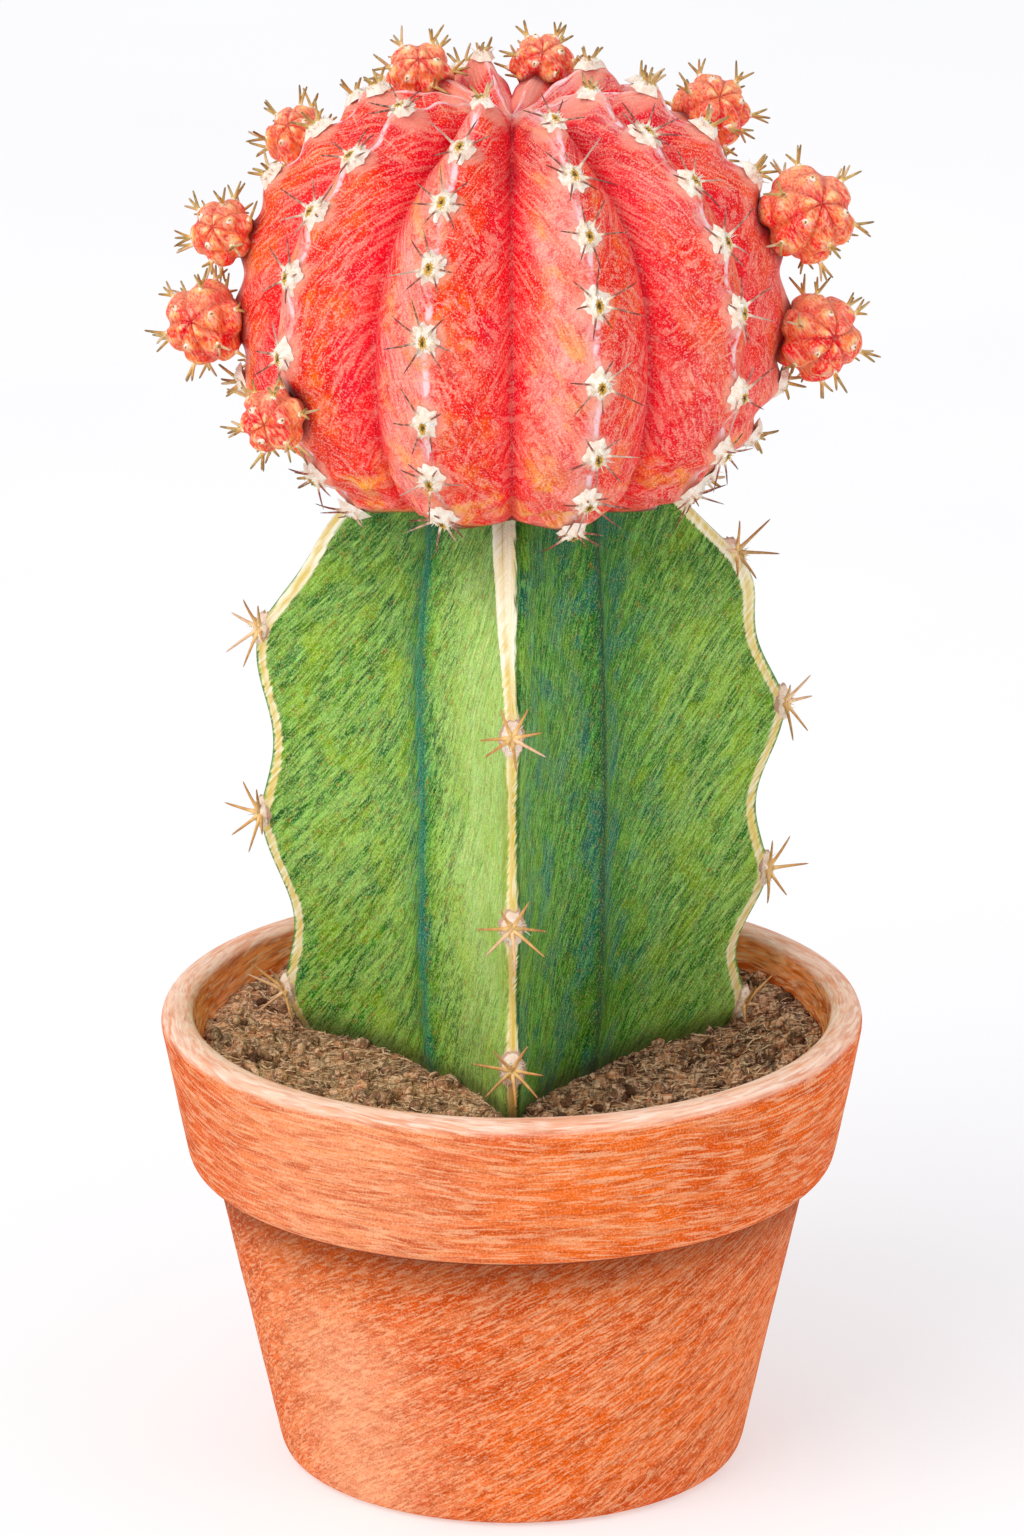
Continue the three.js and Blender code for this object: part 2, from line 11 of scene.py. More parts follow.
import bmesh
import bpy
import numpy as np
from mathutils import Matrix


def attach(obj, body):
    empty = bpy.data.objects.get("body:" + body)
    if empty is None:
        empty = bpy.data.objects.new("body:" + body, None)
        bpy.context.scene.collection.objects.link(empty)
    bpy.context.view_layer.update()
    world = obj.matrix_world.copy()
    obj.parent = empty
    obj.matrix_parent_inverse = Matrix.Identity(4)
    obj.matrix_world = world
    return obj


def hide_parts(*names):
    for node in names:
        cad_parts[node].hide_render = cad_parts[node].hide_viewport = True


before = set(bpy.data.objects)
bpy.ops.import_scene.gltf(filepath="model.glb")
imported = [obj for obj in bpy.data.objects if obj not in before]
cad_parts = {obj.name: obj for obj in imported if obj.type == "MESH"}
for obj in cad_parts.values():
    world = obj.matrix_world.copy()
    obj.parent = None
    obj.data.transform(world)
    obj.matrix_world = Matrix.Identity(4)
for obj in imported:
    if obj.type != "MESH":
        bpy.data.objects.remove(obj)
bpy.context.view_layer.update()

print("parts in the frame:", ", ".join(sorted(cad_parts)))

# %% [markdown]
# ## Working in millimetres
# Blender counts in metres and a cactus spine is three thousandths of one, so the shapes below
# are worked out in millimetres and made smaller only when a mesh is built. Points are kept in
# numpy arrays: one line then moves every point of a skin at once.

# %% Turning arrays of points into pieces
MM = 0.001


def make_piece(name, points, faces, finishes, marks=None, finish_of_face=None):
    """Build one mesh from points in millimetres and let it ride on the body."""
    mesh = bpy.data.meshes.new(name)
    mesh.from_pydata((np.asarray(points) * MM).tolist(), [], faces)
    for mark, values in (marks or {}).items():
        values = np.asarray(values, dtype=np.float32)
        kind, field = ("FLOAT_VECTOR", "vector") if values.ndim == 2 else ("FLOAT", "value")
        mesh.attributes.new(mark, kind, "POINT").data.foreach_set(field, values.ravel())
    for finish in finishes:
        mesh.materials.append(finish)
    if finish_of_face is not None:
        mesh.polygons.foreach_set("material_index", np.asarray(finish_of_face, dtype=np.int32))
    mesh.shade_smooth()
    piece = bpy.data.objects.new(name, mesh)
    bpy.context.scene.collection.objects.link(piece)
    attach(piece, "root")
    corners = sum(len(face) - 2 for face in faces)
    print(f"{name}: {len(points)} points, {corners} triangles")
    return piece


def ring_faces(rows, columns, closed=False):
    """Quads that join each ring of points to the next one, going round the Z axis."""
    row, column = np.meshgrid(np.arange(rows if closed else rows - 1), np.arange(columns),
                              indexing="ij")
    beside = (column + 1) % columns
    above = (row + 1) % rows
    quads = [row * columns + column, row * columns + beside,
             above * columns + beside, above * columns + column]
    return np.stack(quads, -1).reshape(-1, 4).tolist()


def fan_faces(centre, start, columns, upward):
    """Triangles from one point in the middle to the ring that begins at a start."""
    column = np.arange(columns)
    here, beside = start + column, start + (column + 1) % columns
    order = (here, beside) if upward else (beside, here)
    return np.stack([np.full(columns, centre), *order], -1).tolist()


def capped_faces(rows, columns):
    """A skin of rings, closed by fans to a foot and a crown that follow the rings' points."""
    count = rows * columns
    return (ring_faces(rows, columns) + fan_faces(count, 0, columns, upward=False)
            + fan_faces(count + 1, count - columns, columns, upward=True))


def with_ends(marks):
    """Marks of the rings' points in one long row, with nothing for the foot and the crown."""
    rows = {mark: np.asarray(values, dtype=float) for mark, values in marks.items()}
    rows = {mark: values.reshape(-1, *values.shape[2:]) for mark, values in rows.items()}
    return {mark: np.concatenate([values, np.zeros((2, *values.shape[1:]))])
            for mark, values in rows.items()}


print("a skin of 2 rings of 3 points has", len(capped_faces(2, 3)), "faces")

# %% Numbers that rise smoothly and surfaces that wave
def smoothstep(value, low, high):
    """0 up to low, 1 from high on, and an easy climb between them."""
    share = np.clip((np.asarray(value, dtype=float) - low) / (high - low), 0, 1)
    return share * share * (3 - 2 * share)


def bell(distance, width):
    """1 at no distance, falling off smoothly to about a third at one width."""
    return np.exp(-(np.asarray(distance) / width) ** 2)


def waviness(points, size, seed):
    """Smooth values from about -1 to 1, with swells about one size across."""
    turns = np.random.default_rng(seed)
    total = 0
    for _ in range(8):
        way = turns.normal(size=3)
        pitch = math.tau / size * turns.uniform(0.45, 1.3) / np.linalg.norm(way)
        total = total + np.sin(points @ way * pitch + turns.uniform(0, math.tau))
    return total / 4


def around_axis(azimuth, radius, height):
    """Points at an azimuth in degrees, a radius and a height."""
    turn = np.radians(azimuth)
    return np.stack(np.broadcast_arrays(radius * np.cos(turn), radius * np.sin(turn), height), -1)


def unit(vector):
    """The same direction with a length of one."""
    return vector / np.linalg.norm(vector)


def frame_on(normal, upward):
    """Two directions at right angles to a normal: sideways, and the one nearest to upward."""
    sideways = unit(np.cross(upward, normal))
    return sideways, np.cross(normal, sideways)


print("smoothstep at a quarter, a half and three quarters:",
      smoothstep([0.25, 0.5, 0.75], 0, 1).round(3).tolist())

# %% [markdown]
# ## A short way to write node trees
# A shader is a tree of nodes. Clicking one together is a good way to learn, but it is slow to
# repeat, so this small bench puts a node down, sets its sockets and joins them up in one line.
# A value that is itself a socket becomes a link, a word is read as the name of a mark on the
# mesh, and three numbers for a colour are a screen colour. Finishes are painted as a maker
# would: a base, then one thin coat on another, each with a mask that says where it shows and a
# number that says how strongly.

# %% The node bench
class Bench:
    """Puts nodes into one tree and joins them up."""

    def __init__(self, tree):
        self.tree = tree
        tree.nodes.clear()

    def put(self, kind, values=(), **settings):
        """One node of a kind, with values for its sockets and settings of its own."""
        node = self.tree.nodes.new(kind)
        for setting, value in settings.items():
            setattr(node, setting, value)
        return self.fill(node, dict(values))

    def fill(self, node, values):
        for name, value in values.items():
            socket = node.inputs[name]
            if isinstance(value, str):
                value = self.mark(value)
            if isinstance(value, bpy.types.NodeSocket):
                self.tree.links.new(value, socket)
            elif socket.type == "RGBA" and len(value) == 3:
                socket.default_value = colour(*value)
            else:
                socket.default_value = value
        return node

    def number(self, operation, first, second=0.0):
        values = {0: first, 1: second}
        return self.put("ShaderNodeMath", values, operation=operation).outputs[0]

    def arrow(self, operation, first, second):
        values = {0: first, 1: second}
        return self.put("ShaderNodeVectorMath", values, operation=operation).outputs[0]

    def window(self, value, low, high):
        """0 at low and 1 at high, eased at both ends."""
        node = self.put("ShaderNodeMapRange", {0: value, 1: low, 2: high},
                        interpolation_type="SMOOTHSTEP")
        return node.outputs[0]

    def spread(self, noise, first, second):
        """A number that runs from one to another over the usual range of a noise."""
        values = {0: noise, 1: 0.3, 2: 0.7, 3: first, 4: second}
        return self.put("ShaderNodeMapRange", values).outputs[0]

    def wobble(self, noise, amount):
        """A noise that swings round nothing, to make an edge ragged."""
        return self.number("MULTIPLY", self.number("SUBTRACT", noise, 0.5), amount)

    def between(self, first, second, share):
        """A number between two others."""
        return self.put("ShaderNodeMix", {0: share, 2: first, 3: second}).outputs[0]

    def blend(self, below, above, *shares):
        """A colour over another one, as strong as the product of the shares."""
        share = shares[0]
        for other in shares[1:]:
            share = self.number("MULTIPLY", share, other)
        node = self.put("ShaderNodeMix", {0: share, 6: below, 7: above}, data_type="RGBA")
        return node.outputs[2]

    def coats(self, below, *coats):
        """Coats laid on one after another. Each is a colour and its shares."""
        for above, *shares in coats:
            below = self.blend(below, above, *shares)
        return below

    def mark(self, name, kind="Fac"):
        """Read a value that was stored on the points of the mesh."""
        return self.put("ShaderNodeAttribute", attribute_name=name).outputs[kind]

    def use(self, group, **values):
        """Place a node group, with values for its sockets."""
        node = self.tree.nodes.new("ShaderNodeGroup")
        node.node_tree = group
        return self.fill(node, values).outputs

# %% Screen colours and node groups
def colour(red, green, blue):
    """A screen colour, from 0 to 255 for each part, as the linear one that shaders want."""
    parts = [part / 255 for part in (red, green, blue)]
    line = [p / 12.92 if p <= 0.04045 else ((p + 0.055) / 1.055) ** 2.4 for p in parts]
    return (*line, 1.0)


print("a warm mid grey as the shader wants it:", [round(p, 3) for p in colour(128, 124, 120)])


def start_group(name, inputs, outputs):
    """An empty node group with named sockets on both sides."""
    group = bpy.data.node_groups.new(name, "ShaderNodeTree")
    bench = Bench(group)
    for label, kind, value in inputs:
        socket = group.interface.new_socket(label, in_out="INPUT", socket_type=kind)
        socket.default_value = value
    for label in outputs:
        group.interface.new_socket(label, in_out="OUTPUT", socket_type="NodeSocketFloat")
    entry = group.nodes.new("NodeGroupInput").outputs
    leave = group.nodes.new("NodeGroupOutput").inputs
    return group, bench, entry, leave

# %% [markdown]
# ## Three effects that every finish shares
# Skin, clay and soil all show the same three kinds of variation: long thin strokes that follow
# the way the surface grew or was wiped, tiny pale flecks like the tooth of a grain, and broad
# soft patches. Each is a node group, built once, that every material places with its own
# sizes in millimetres. The groups only give masks, so each material mixes its own colours.

# %% Strokes
VECTOR, FLOAT = "NodeSocketVector", "NodeSocketFloat"
strokes, bench, entry, leave = start_group(
    "growth_strokes",
    [("Place", VECTOR, (0, 0, 0)), ("Size", VECTOR, (3, 3, 0.3)), ("Tilt", FLOAT, 0.0),
     ("Bend", FLOAT, 0.5), ("Edge", FLOAT, 0.04)],
    ["Pale", "Dark", "Height"])
# The place is tilted, stretched and bent, and then two noises are read there.
turned = bench.put("ShaderNodeVectorRotate", {"Vector": entry["Place"], "Angle": entry["Tilt"]},
                   rotation_type="Y_AXIS").outputs[0]
stretched = bench.arrow("DIVIDE", turned, entry["Size"])
sway = bench.put("ShaderNodeTexNoise", {"Vector": stretched, "Scale": 0.3, "Detail": 1.0})
swayed = bench.arrow("SUBTRACT", sway.outputs["Color"], (0.5, 0.5, 0.5))
bend = bench.put("ShaderNodeVectorMath", {0: swayed, "Scale": entry["Bend"]}, operation="SCALE")
bent = bench.arrow("ADD", stretched, bend.outputs[0])
fine = bench.put("ShaderNodeTexNoise", {"Vector": bent, "Scale": 1.0, "Detail": 2.0,
                                        "Roughness": 0.5}).outputs["Fac"]
shifted = bench.arrow("ADD", bent, (31.7, 12.3, 8.9))
second = bench.put("ShaderNodeTexNoise", {"Vector": shifted, "Scale": 0.9, "Detail": 2.0,
                                          "Roughness": 0.5}).outputs["Fac"]
start, end = (bench.number(way, 0.555, entry["Edge"]) for way in ("SUBTRACT", "ADD"))
bench.tree.links.new(bench.window(fine, start, end), leave["Pale"])
bench.tree.links.new(bench.window(second, start, end), leave["Dark"])
bench.tree.links.new(fine, leave["Height"])
print("strokes:", len(bench.tree.nodes), "nodes")

# %% Flecks
flecks, bench, entry, leave = start_group(
    "pale_flecks",
    [("Place", VECTOR, (0, 0, 0)), ("Size", FLOAT, 0.35), ("Rarity", FLOAT, 0.5)],
    ["Mask", "Pits", "Height"])
pitch = bench.number("DIVIDE", 1.0, entry["Size"])
grain = bench.put("ShaderNodeTexNoise", {"Vector": entry["Place"], "Scale": pitch,
                                         "Detail": 1.0, "Roughness": 0.5}).outputs["Fac"]
upper = bench.number("ADD", entry["Rarity"], 0.2)
lower = bench.number("SUBTRACT", 0.98, entry["Rarity"])
bench.tree.links.new(bench.window(grain, entry["Rarity"], upper), leave["Mask"])
bench.tree.links.new(bench.window(grain, lower, bench.number("SUBTRACT", lower, 0.2)),
                     leave["Pits"])
bench.tree.links.new(grain, leave["Height"])
print("flecks:", len(bench.tree.nodes), "nodes")

# %% Patches
patches, bench, entry, leave = start_group(
    "soft_patches",
    [("Place", VECTOR, (0, 0, 0)), ("Size", FLOAT, 8.0), ("Low", FLOAT, 0.4),
     ("High", FLOAT, 0.62)],
    ["Mask"])
pitch = bench.number("DIVIDE", 1.0, entry["Size"])
cloud = bench.put("ShaderNodeTexNoise", {"Vector": entry["Place"], "Scale": pitch,
                                         "Detail": 3.0, "Roughness": 0.55}).outputs["Fac"]
bench.tree.links.new(bench.window(cloud, entry["Low"], entry["High"]), leave["Mask"])


def clouds(bench, place, size, low, high, shift=None):
    """Soft patches. A shift keeps two sets of the same size from falling together."""
    if shift:
        place = bench.arrow("ADD", place, shift)
    return bench.use(patches, Place=place, Size=size, Low=low, High=high)["Mask"]


print("groups:", ", ".join(group.name for group in bpy.data.node_groups))

# %% [markdown]
# ## Strokes that don't all lean one way
# A surface that a hand has brushed shows neighbouring patches with a different lean, because
# the hand turned. One set of strokes alone would look combed. So two sets with their own tilt
# are laid out, and soft patches choose between them.

# %% Strokes that change their lean from patch to patch
def hatch(bench, place, size, tilts, bend, patch, edge=0.04):
    """Two sets of strokes that lean differently, one in soft patches and one between them."""
    which = clouds(bench, place, patch, 0.44, 0.56)
    one, other = (bench.use(strokes, Place=place, Size=size, Tilt=tilt, Bend=bend, Edge=edge)
                  for tilt in tilts)
    return {mask: bench.between(one[mask], other[mask], which)
            for mask in ("Pale", "Dark", "Height")}

# %% Starting and closing a finish
def start_finish(name):
    """A new material, its bench, and the place on the piece in millimetres."""
    finish = bpy.data.materials.new(name)
    finish.use_nodes = True
    bench = Bench(finish.node_tree)
    place = bench.put("ShaderNodeTexCoord").outputs["Object"]
    in_mm = bench.arrow("MULTIPLY", place, (1000, 1000, 1000))
    return finish, bench, in_mm


def close_finish(bench, base, roughness, height, relief, richness=1.0, **fixed):
    """End a tree with one shader. The relief is the depth of the bumps in millimetres."""
    rich = bench.put("ShaderNodeHueSaturation", {"Color": base, "Saturation": richness})
    bump = bench.put("ShaderNodeBump", {"Height": height, "Distance": relief * MM,
                                        "Strength": 1.0})
    values = {"Base Color": rich.outputs[0], "Roughness": roughness, "Normal": bump.outputs[0]}
    values.update({name.replace("_", " "): value for name, value in fixed.items()})
    shader = bench.put("ShaderNodeBsdfPrincipled", values)
    bench.put("ShaderNodeOutputMaterial", {"Surface": shader.outputs[0]})
    print("a finish of", len(bench.tree.nodes), "nodes")

# %% [markdown]
# ## The camera and the studio
# The camera looks down a little and stands far off with a long lens, so the pot's rim is a
# clear oval and its sides barely draw together. A pale floor runs back until it fills the
# view. One big soft lamp stands high on the left, a weaker one on the right lifts the shade,
# and a bright even sky does the rest.

# %% The camera
scene = bpy.context.scene
scene.view_settings.view_transform = "Standard"
CAMERA_TARGET = (0.0, 0.0, 0.0717)
CAMERA_DISTANCE = 1.0
CAMERA_RISE = math.radians(18.72)
lens = bpy.data.cameras.new("camera")
lens.lens = 236.95
lens.sensor_fit = "VERTICAL"
lens.sensor_height = 36
lens.clip_end = 30
camera = bpy.data.objects.new("camera", lens)
scene.collection.objects.link(camera)
camera.location = (0.0, -CAMERA_DISTANCE * math.cos(CAMERA_RISE),
                   CAMERA_TARGET[2] + CAMERA_DISTANCE * math.sin(CAMERA_RISE))
camera.rotation_euler = (math.pi / 2 - CAMERA_RISE, 0, 0)
scene.camera = camera
print("camera at", [round(v, 4) for v in camera.location])

# %% The lamps and the sky
AIM_HEIGHT = 0.08  # the lamps point at the middle of the plant


def add_lamp(name, place, power, size, tint):
    """A soft square lamp that faces the plant."""
    lamp = bpy.data.lights.new(name, "AREA")
    lamp.energy, lamp.size, lamp.color = power, size, tint
    holder = bpy.data.objects.new(name, lamp)
    scene.collection.objects.link(holder)
    holder.location = place
    aim = holder.location.copy()
    aim.z -= AIM_HEIGHT
    holder.rotation_euler = aim.to_track_quat("Z", "Y").to_euler()


add_lamp("key_lamp", (-0.85, -0.95, 1.25), 15.5, 1.3, (1.0, 0.985, 0.96))
add_lamp("fill_lamp", (1.2, -0.7, 0.6), 2.5, 1.4, (0.97, 0.98, 1.0))
sky = bpy.data.worlds.new("studio_sky")
sky.use_nodes = True
bench = Bench(sky.node_tree)
light = bench.put("ShaderNodeBackground", {"Color": (0.97, 0.98, 1.0, 1.0), "Strength": 0.72})
bench.put("ShaderNodeOutputWorld", {"Surface": light.outputs[0]})
scene.world = sky
print("lamps:", ", ".join(lamp.name for lamp in bpy.data.lights))

# %% The floor
finish, bench, place = start_finish("pale_floor")
cloudy = clouds(bench, place, 160.0, 0.3, 0.7)
tooth = bench.use(flecks, Place=place, Size=1.2, Rarity=0.5)
paper = bench.blend((0.54, 0.54, 0.56, 1), (0.57, 0.57, 0.58, 1), cloudy)
close_finish(bench, paper, 0.9, tooth["Height"], 0.02, Specular_IOR_Level=0.1,
             Emission_Color=(1.0, 0.993, 0.995, 1.0), Emission_Strength=0.47)
REACH = 6.0
floor_mesh = bpy.data.meshes.new("studio_floor")
floor_mesh.from_pydata([(-REACH, -REACH, 0), (REACH, -REACH, 0), (REACH, REACH, 0),
                        (-REACH, REACH, 0)], [], [(0, 1, 2, 3)])
floor_mesh.materials.append(finish)
studio_floor = bpy.data.objects.new("studio_floor", floor_mesh)
scene.collection.objects.link(studio_floor)
print("the floor reaches", REACH, "m to every side")

# %% [markdown]
# ## The pot
# A clay pot is thrown or pressed in a mould, so its shape is one outline turned round an axis.
# A lathe of that outline is the honest way to make it. The outline below is the solid's own,
# with each corner turned into a short arc as wet clay leaves it, and the wall is given the
# faint unevenness of a cheap garden pot.

# %% The outline of the pot
POT_HEIGHT = 47.1
POT_COLUMNS = 240
POT_OUTLINE = [
    (5, 0), (21.6, 0), (22.9, 0.5), (23.4, 1.7), (29.7, 30.5), (30.2, 31.1), (31.2, 31.1),
    (32.25, 31.8), (32.6, 33.2), (35, 45.7), (34.65, 46.7), (33.8, 47.1), (32.6, 47.1),
    (31.85, 46.7), (31.6, 45.8), (20.3, 6.6), (19.3, 5.3), (17.8, 4.8), (5, 4.8)]
RIM_CORNER = 11  # from this corner on the outline runs down the inside


def round_corners(corners, trim, steps=5):
    """Swap every corner of a closed outline for an arc, and note which corner it was."""
    spots, owners = [], []
    for i, corner in enumerate(corners):
        before, after = corners[i - 1] - corner, corners[(i + 1) % len(corners)] - corner
        cut = min(trim, 0.5 * np.linalg.norm(before), 0.5 * np.linalg.norm(after))
        start, end = corner + unit(before) * cut, corner + unit(after) * cut
        for t in np.linspace(0, 1, steps):
            spots.append((1 - t) ** 2 * start + 2 * t * (1 - t) * corner + t * t * end)
            owners.append(i)
    return np.array(spots), np.array(owners)


def fill_gaps(spots, owners, spacing):
    """Add points on the long straight stretches, so no step is longer than the spacing."""
    out, labels = [], []
    for i, spot in enumerate(spots):
        following = spots[(i + 1) % len(spots)]
        gap = np.linalg.norm(following - spot)
        if gap < 0.02:
            continue
        parts = max(1, math.ceil(gap / spacing))
        for t in np.arange(parts) / parts:
            out.append(spot + (following - spot) * t)
            labels.append(owners[i])
    return np.array(out), np.array(labels)


outline, owner = fill_gaps(*round_corners(np.array(POT_OUTLINE, dtype=float), 1.1), 1.0)
inside = owner >= RIM_CORNER
along = np.concatenate([[0], np.cumsum(np.linalg.norm(np.diff(outline, axis=0), axis=1))])
print("outline of the pot:", len(outline), "points,", round(float(along[-1])), "mm round")

# %% The turned wall
azimuth = 360 * np.arange(POT_COLUMNS) / POT_COLUMNS
radius, height = outline[:, :1], outline[:, 1:]
wall = around_axis(azimuth[None], radius, height).reshape(-1, 3)
uneven = 0.07 * waviness(wall, 34, 3) + 0.025 * waviness(wall * (0.3, 0.3, 2.2), 9, 4)
uneven *= np.repeat(smoothstep(outline[:, 1], 1.0, 4.0) * (outline[:, 0] > 7), POT_COLUMNS)
wall[:, :2] *= (1 + uneven / np.hypot(wall[:, 0], wall[:, 1]))[:, None]
print("the wall leaves its circle by up to", round(float(np.abs(uneven).max()), 2), "mm")

# %% The marks that the pot's finish reads
WALL_MEAN, BAND_FOOT, CLIMB = 33, 31.0, 1.8
height, inside_point = wall[:, 2], np.repeat(inside, POT_COLUMNS)
walked = np.repeat(along, POT_COLUMNS)
turn = np.tile(np.radians(azimuth), len(outline))
turn_degrees = np.degrees(turn)
below_band = np.maximum(BAND_FOOT - height, 0)
climb = turn - CLIMB * walked / WALL_MEAN
# Turns count from the right-hand side: 180 degrees is the left and 270 faces the camera.
# Painted highlight: the lower body and the band are paler on the side towards the lamp.
body_highlight = bell(turn_degrees - 231, 20) * (1 - smoothstep(height, 17, 29))
band_highlight = 0.75 * bell(turn_degrees - 240, 26)
pot_marks = {
    "helix": np.stack([WALL_MEAN * np.cos(climb), WALL_MEAN * np.sin(climb), walked], -1),
    "wrap": np.stack([WALL_MEAN * np.abs(turn - math.pi), WALL_MEAN * np.sin(turn), walked], -1),
    "inside": inside_point * smoothstep(-height, -46.8, -46.0),
    "lip": smoothstep(height, 45.7, 46.7),
    "body": ~inside_point * (1 - smoothstep(height, 30.6, 31.4)),
    # Painted shadow under the band's overhang: a dark line and a wider fade below it.
    "under_band_shadow": ~inside_point * (height < 31.6) * np.maximum(
        bell(below_band, 0.9), 0.7 * bell(below_band, 4.4)),
    "lamp_side_highlight": ~inside_point * np.where(height < BAND_FOOT, body_highlight, band_highlight),
    # A deeper orange in front and at the left edge, and a painted shade on the far right.
    "ruddy_and_shade": ~inside_point * np.maximum.reduce([
        bell(height - 23, 8) * bell(turn_degrees - 262, 28),
        0.8 * bell(turn_degrees - 190, 14), 0.5 * bell(turn_degrees - 326, 22)]),
}
print("marks on the pot:", ", ".join(pot_marks))

# %% [markdown]
# ## Fired clay
# Unglazed terracotta is never one orange. A turning hand smoothed the wet wall and left fine
# streaks, and salts from the water dried as pale peach dashes on top. On the band the streaks
# run level, read from a coordinate that was wrapped round the pot. On the body they climb the
# wall a little, as on a screw, because that coordinate was twisted. A dark line of painted
# shadow lies under the band, the lip's top is painted pale as a highlight, the side towards the
# lamp has a painted highlight and the far right a painted shade, and the inside is damp and
# brown.

# %% The strokes of the terracotta
terracotta, bench, place = start_finish("terracotta")
wrap, helix = bench.mark("wrap", "Vector"), bench.mark("helix", "Vector")
wide = hatch(bench, wrap, (10.0, 12.0, 0.9), (0.04, -0.09), 1.0, 22.0, 0.07)
thin = hatch(bench, wrap, (3.4, 5.0, 0.3), (0.02, -0.12), 0.7, 12.0, 0.06)
slant = bench.use(strokes, Place=helix, Size=(3.2, 3.2, 5.0), Bend=1.0, Edge=0.1)
short = bench.use(strokes, Place=helix, Size=(0.6, 0.6, 0.8), Bend=1.6, Edge=0.07)
cloudy = clouds(bench, wrap, 24.0, 0.38, 0.62)
tooth = bench.use(flecks, Place=place, Size=0.2, Rarity=0.5)
body, lamp_side_highlight = bench.mark("body"), bench.mark("lamp_side_highlight")
on_band = bench.between(1.0, 0.2, body)
print("laid out:", len(bench.tree.nodes), "nodes")

# %% The coats of the terracotta
clay = bench.coats(
    bench.blend((242, 114, 46), (224, 86, 20), cloudy),
    # A painted highlight on the side towards the lamp, where the dark strokes also fade.
    ((252, 180, 140), lamp_side_highlight, 0.8),
    # Deeper orange: partly tone, partly painted shade on the far right.
    ((222, 80, 12), "ruddy_and_shade", 0.5),
    # Broad streaks first and fine ones last, dark before pale each time.
    ((190, 66, 16), wide["Dark"], bench.between(0.5, 0.25, body)),
    ((250, 160, 106), wide["Pale"], bench.between(0.45, 0.2, body)),
    ((180, 66, 16), slant["Dark"], body, bench.between(0.5, 0.2, lamp_side_highlight)),
    ((252, 160, 106), slant["Pale"], body, 0.36),
    ((168, 58, 16), thin["Dark"], on_band, 0.4),
    ((255, 194, 150), thin["Pale"], on_band, 0.55),
    ((164, 54, 8), short["Dark"], body, bench.between(0.5, 0.25, lamp_side_highlight)),
    ((255, 190, 144), short["Pale"], body, 0.55),
    ((255, 204, 168), tooth["Mask"], 0.3),
    ((160, 56, 18), tooth["Pits"], 0.3))
# The lip's top is painted pale as a painted highlight, with fine streaks.
lip_highlight = bench.coats(
    bench.blend((255, 218, 194), (244, 178, 142), wide["Dark"], 0.8),
    ((255, 240, 226), thin["Pale"], 0.6),
    ((206, 118, 78), thin["Dark"], 0.35))
damp = bench.coats(
    bench.blend((252, 158, 94), (208, 98, 42), wide["Dark"]),
    ((255, 206, 160), thin["Pale"], 0.62),
    ((150, 70, 34), thin["Dark"], 0.45))
clay = bench.coats(
    clay,
    (lip_highlight, "lip", 0.9),
    (damp, "inside", 0.95),
    # The painted shadow under the band.
    ((92, 28, 6), "under_band_shadow", bench.between(0.7, 1.0, wide["Height"])))
rough = bench.spread(thin["Height"], 0.95, 0.72)
relief = bench.number("ADD", thin["Height"], bench.number("MULTIPLY", tooth["Height"], 0.6))
close_finish(bench, clay, rough, relief, 0.07, 1.03, Specular_IOR_Level=0.12)
pot = make_piece("terracotta_pot", wall, ring_faces(len(outline), POT_COLUMNS, closed=True),
                 [terracotta], pot_marks)
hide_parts("pot")

# %% [markdown]
# ## The rootstock's shape
# The green stem has three broad wings with a blunt horny margin, which draws in between the
# areoles, the small cushions that carry the spines. Its section is drawn once for each level:
# from the middle of a margin, over its edge, and down a hollow flank into the valley. Smooth
# curves through a few measured radii say how far wings and valleys reach at each height, so
# stacking the sections gives the whole stem, much as a sweep along a changing profile would.

# %% Measured radii of the stem, in millimetres from the pot's rim
STOCK_FOOT, STOCK_TOP = -22.0, 54.2
GRAFT_LEVEL = 54.5  # the flat cut of the red ball
WINGS = (  # name, azimuth, how far it reaches beside the curve below, levels of its areoles
    ("front", -90, 0.865, (35.6, 16.2, 0.9)),
    ("right", 22, 1.035, (44.3, 28.0, 10.6, -3.4)),
    ("left", 158, 0.99, (36.0, 16.6, -1.9)))
MARGIN_DIP = 2.1  # how deep a margin draws in between two areoles


def smooth_curve(heights, values):
    """A smooth line through pairs of heights and values."""
    heights, values = np.array(heights, dtype=float), np.array(values, dtype=float)
    secants = np.diff(values) / np.diff(heights)
    slopes = np.concatenate([secants[:1], (secants[1:] + secants[:-1]) / 2, secants[-1:]])

    def read(height):
        height = np.clip(height, heights[0], heights[-1])
        i = np.clip(np.searchsorted(heights, height, side="right") - 1, 0, len(secants) - 1)
        gap = heights[i + 1] - heights[i]
        p = (height - heights[i]) / gap
        return ((1 + 2 * p) * (1 - p) ** 2 * values[i] + p * (1 - p) ** 2 * gap * slopes[i]
                + p * p * (3 - 2 * p) * values[i + 1] + p * p * (p - 1) * gap * slopes[i + 1])

    return read


wing_reach = smooth_curve([-22, -18, -12, -5, 8, 20, 30, 36, 40.5, 45, 50, 54.2],
                          [6, 12, 19, 23.6, 26.2, 27.6, 28.2, 27.2, 25.5, 22.5, 18.3, 14.6])
valley_reach = smooth_curve([-22, -18, -12, -5, 20, 40, 54.2],
                            [4.5, 6.5, 8.6, 10, 11, 10.8, 9.6])
print("widest wing:", round(float(wing_reach(np.linspace(STOCK_FOOT, STOCK_TOP)).max()), 1), "mm")

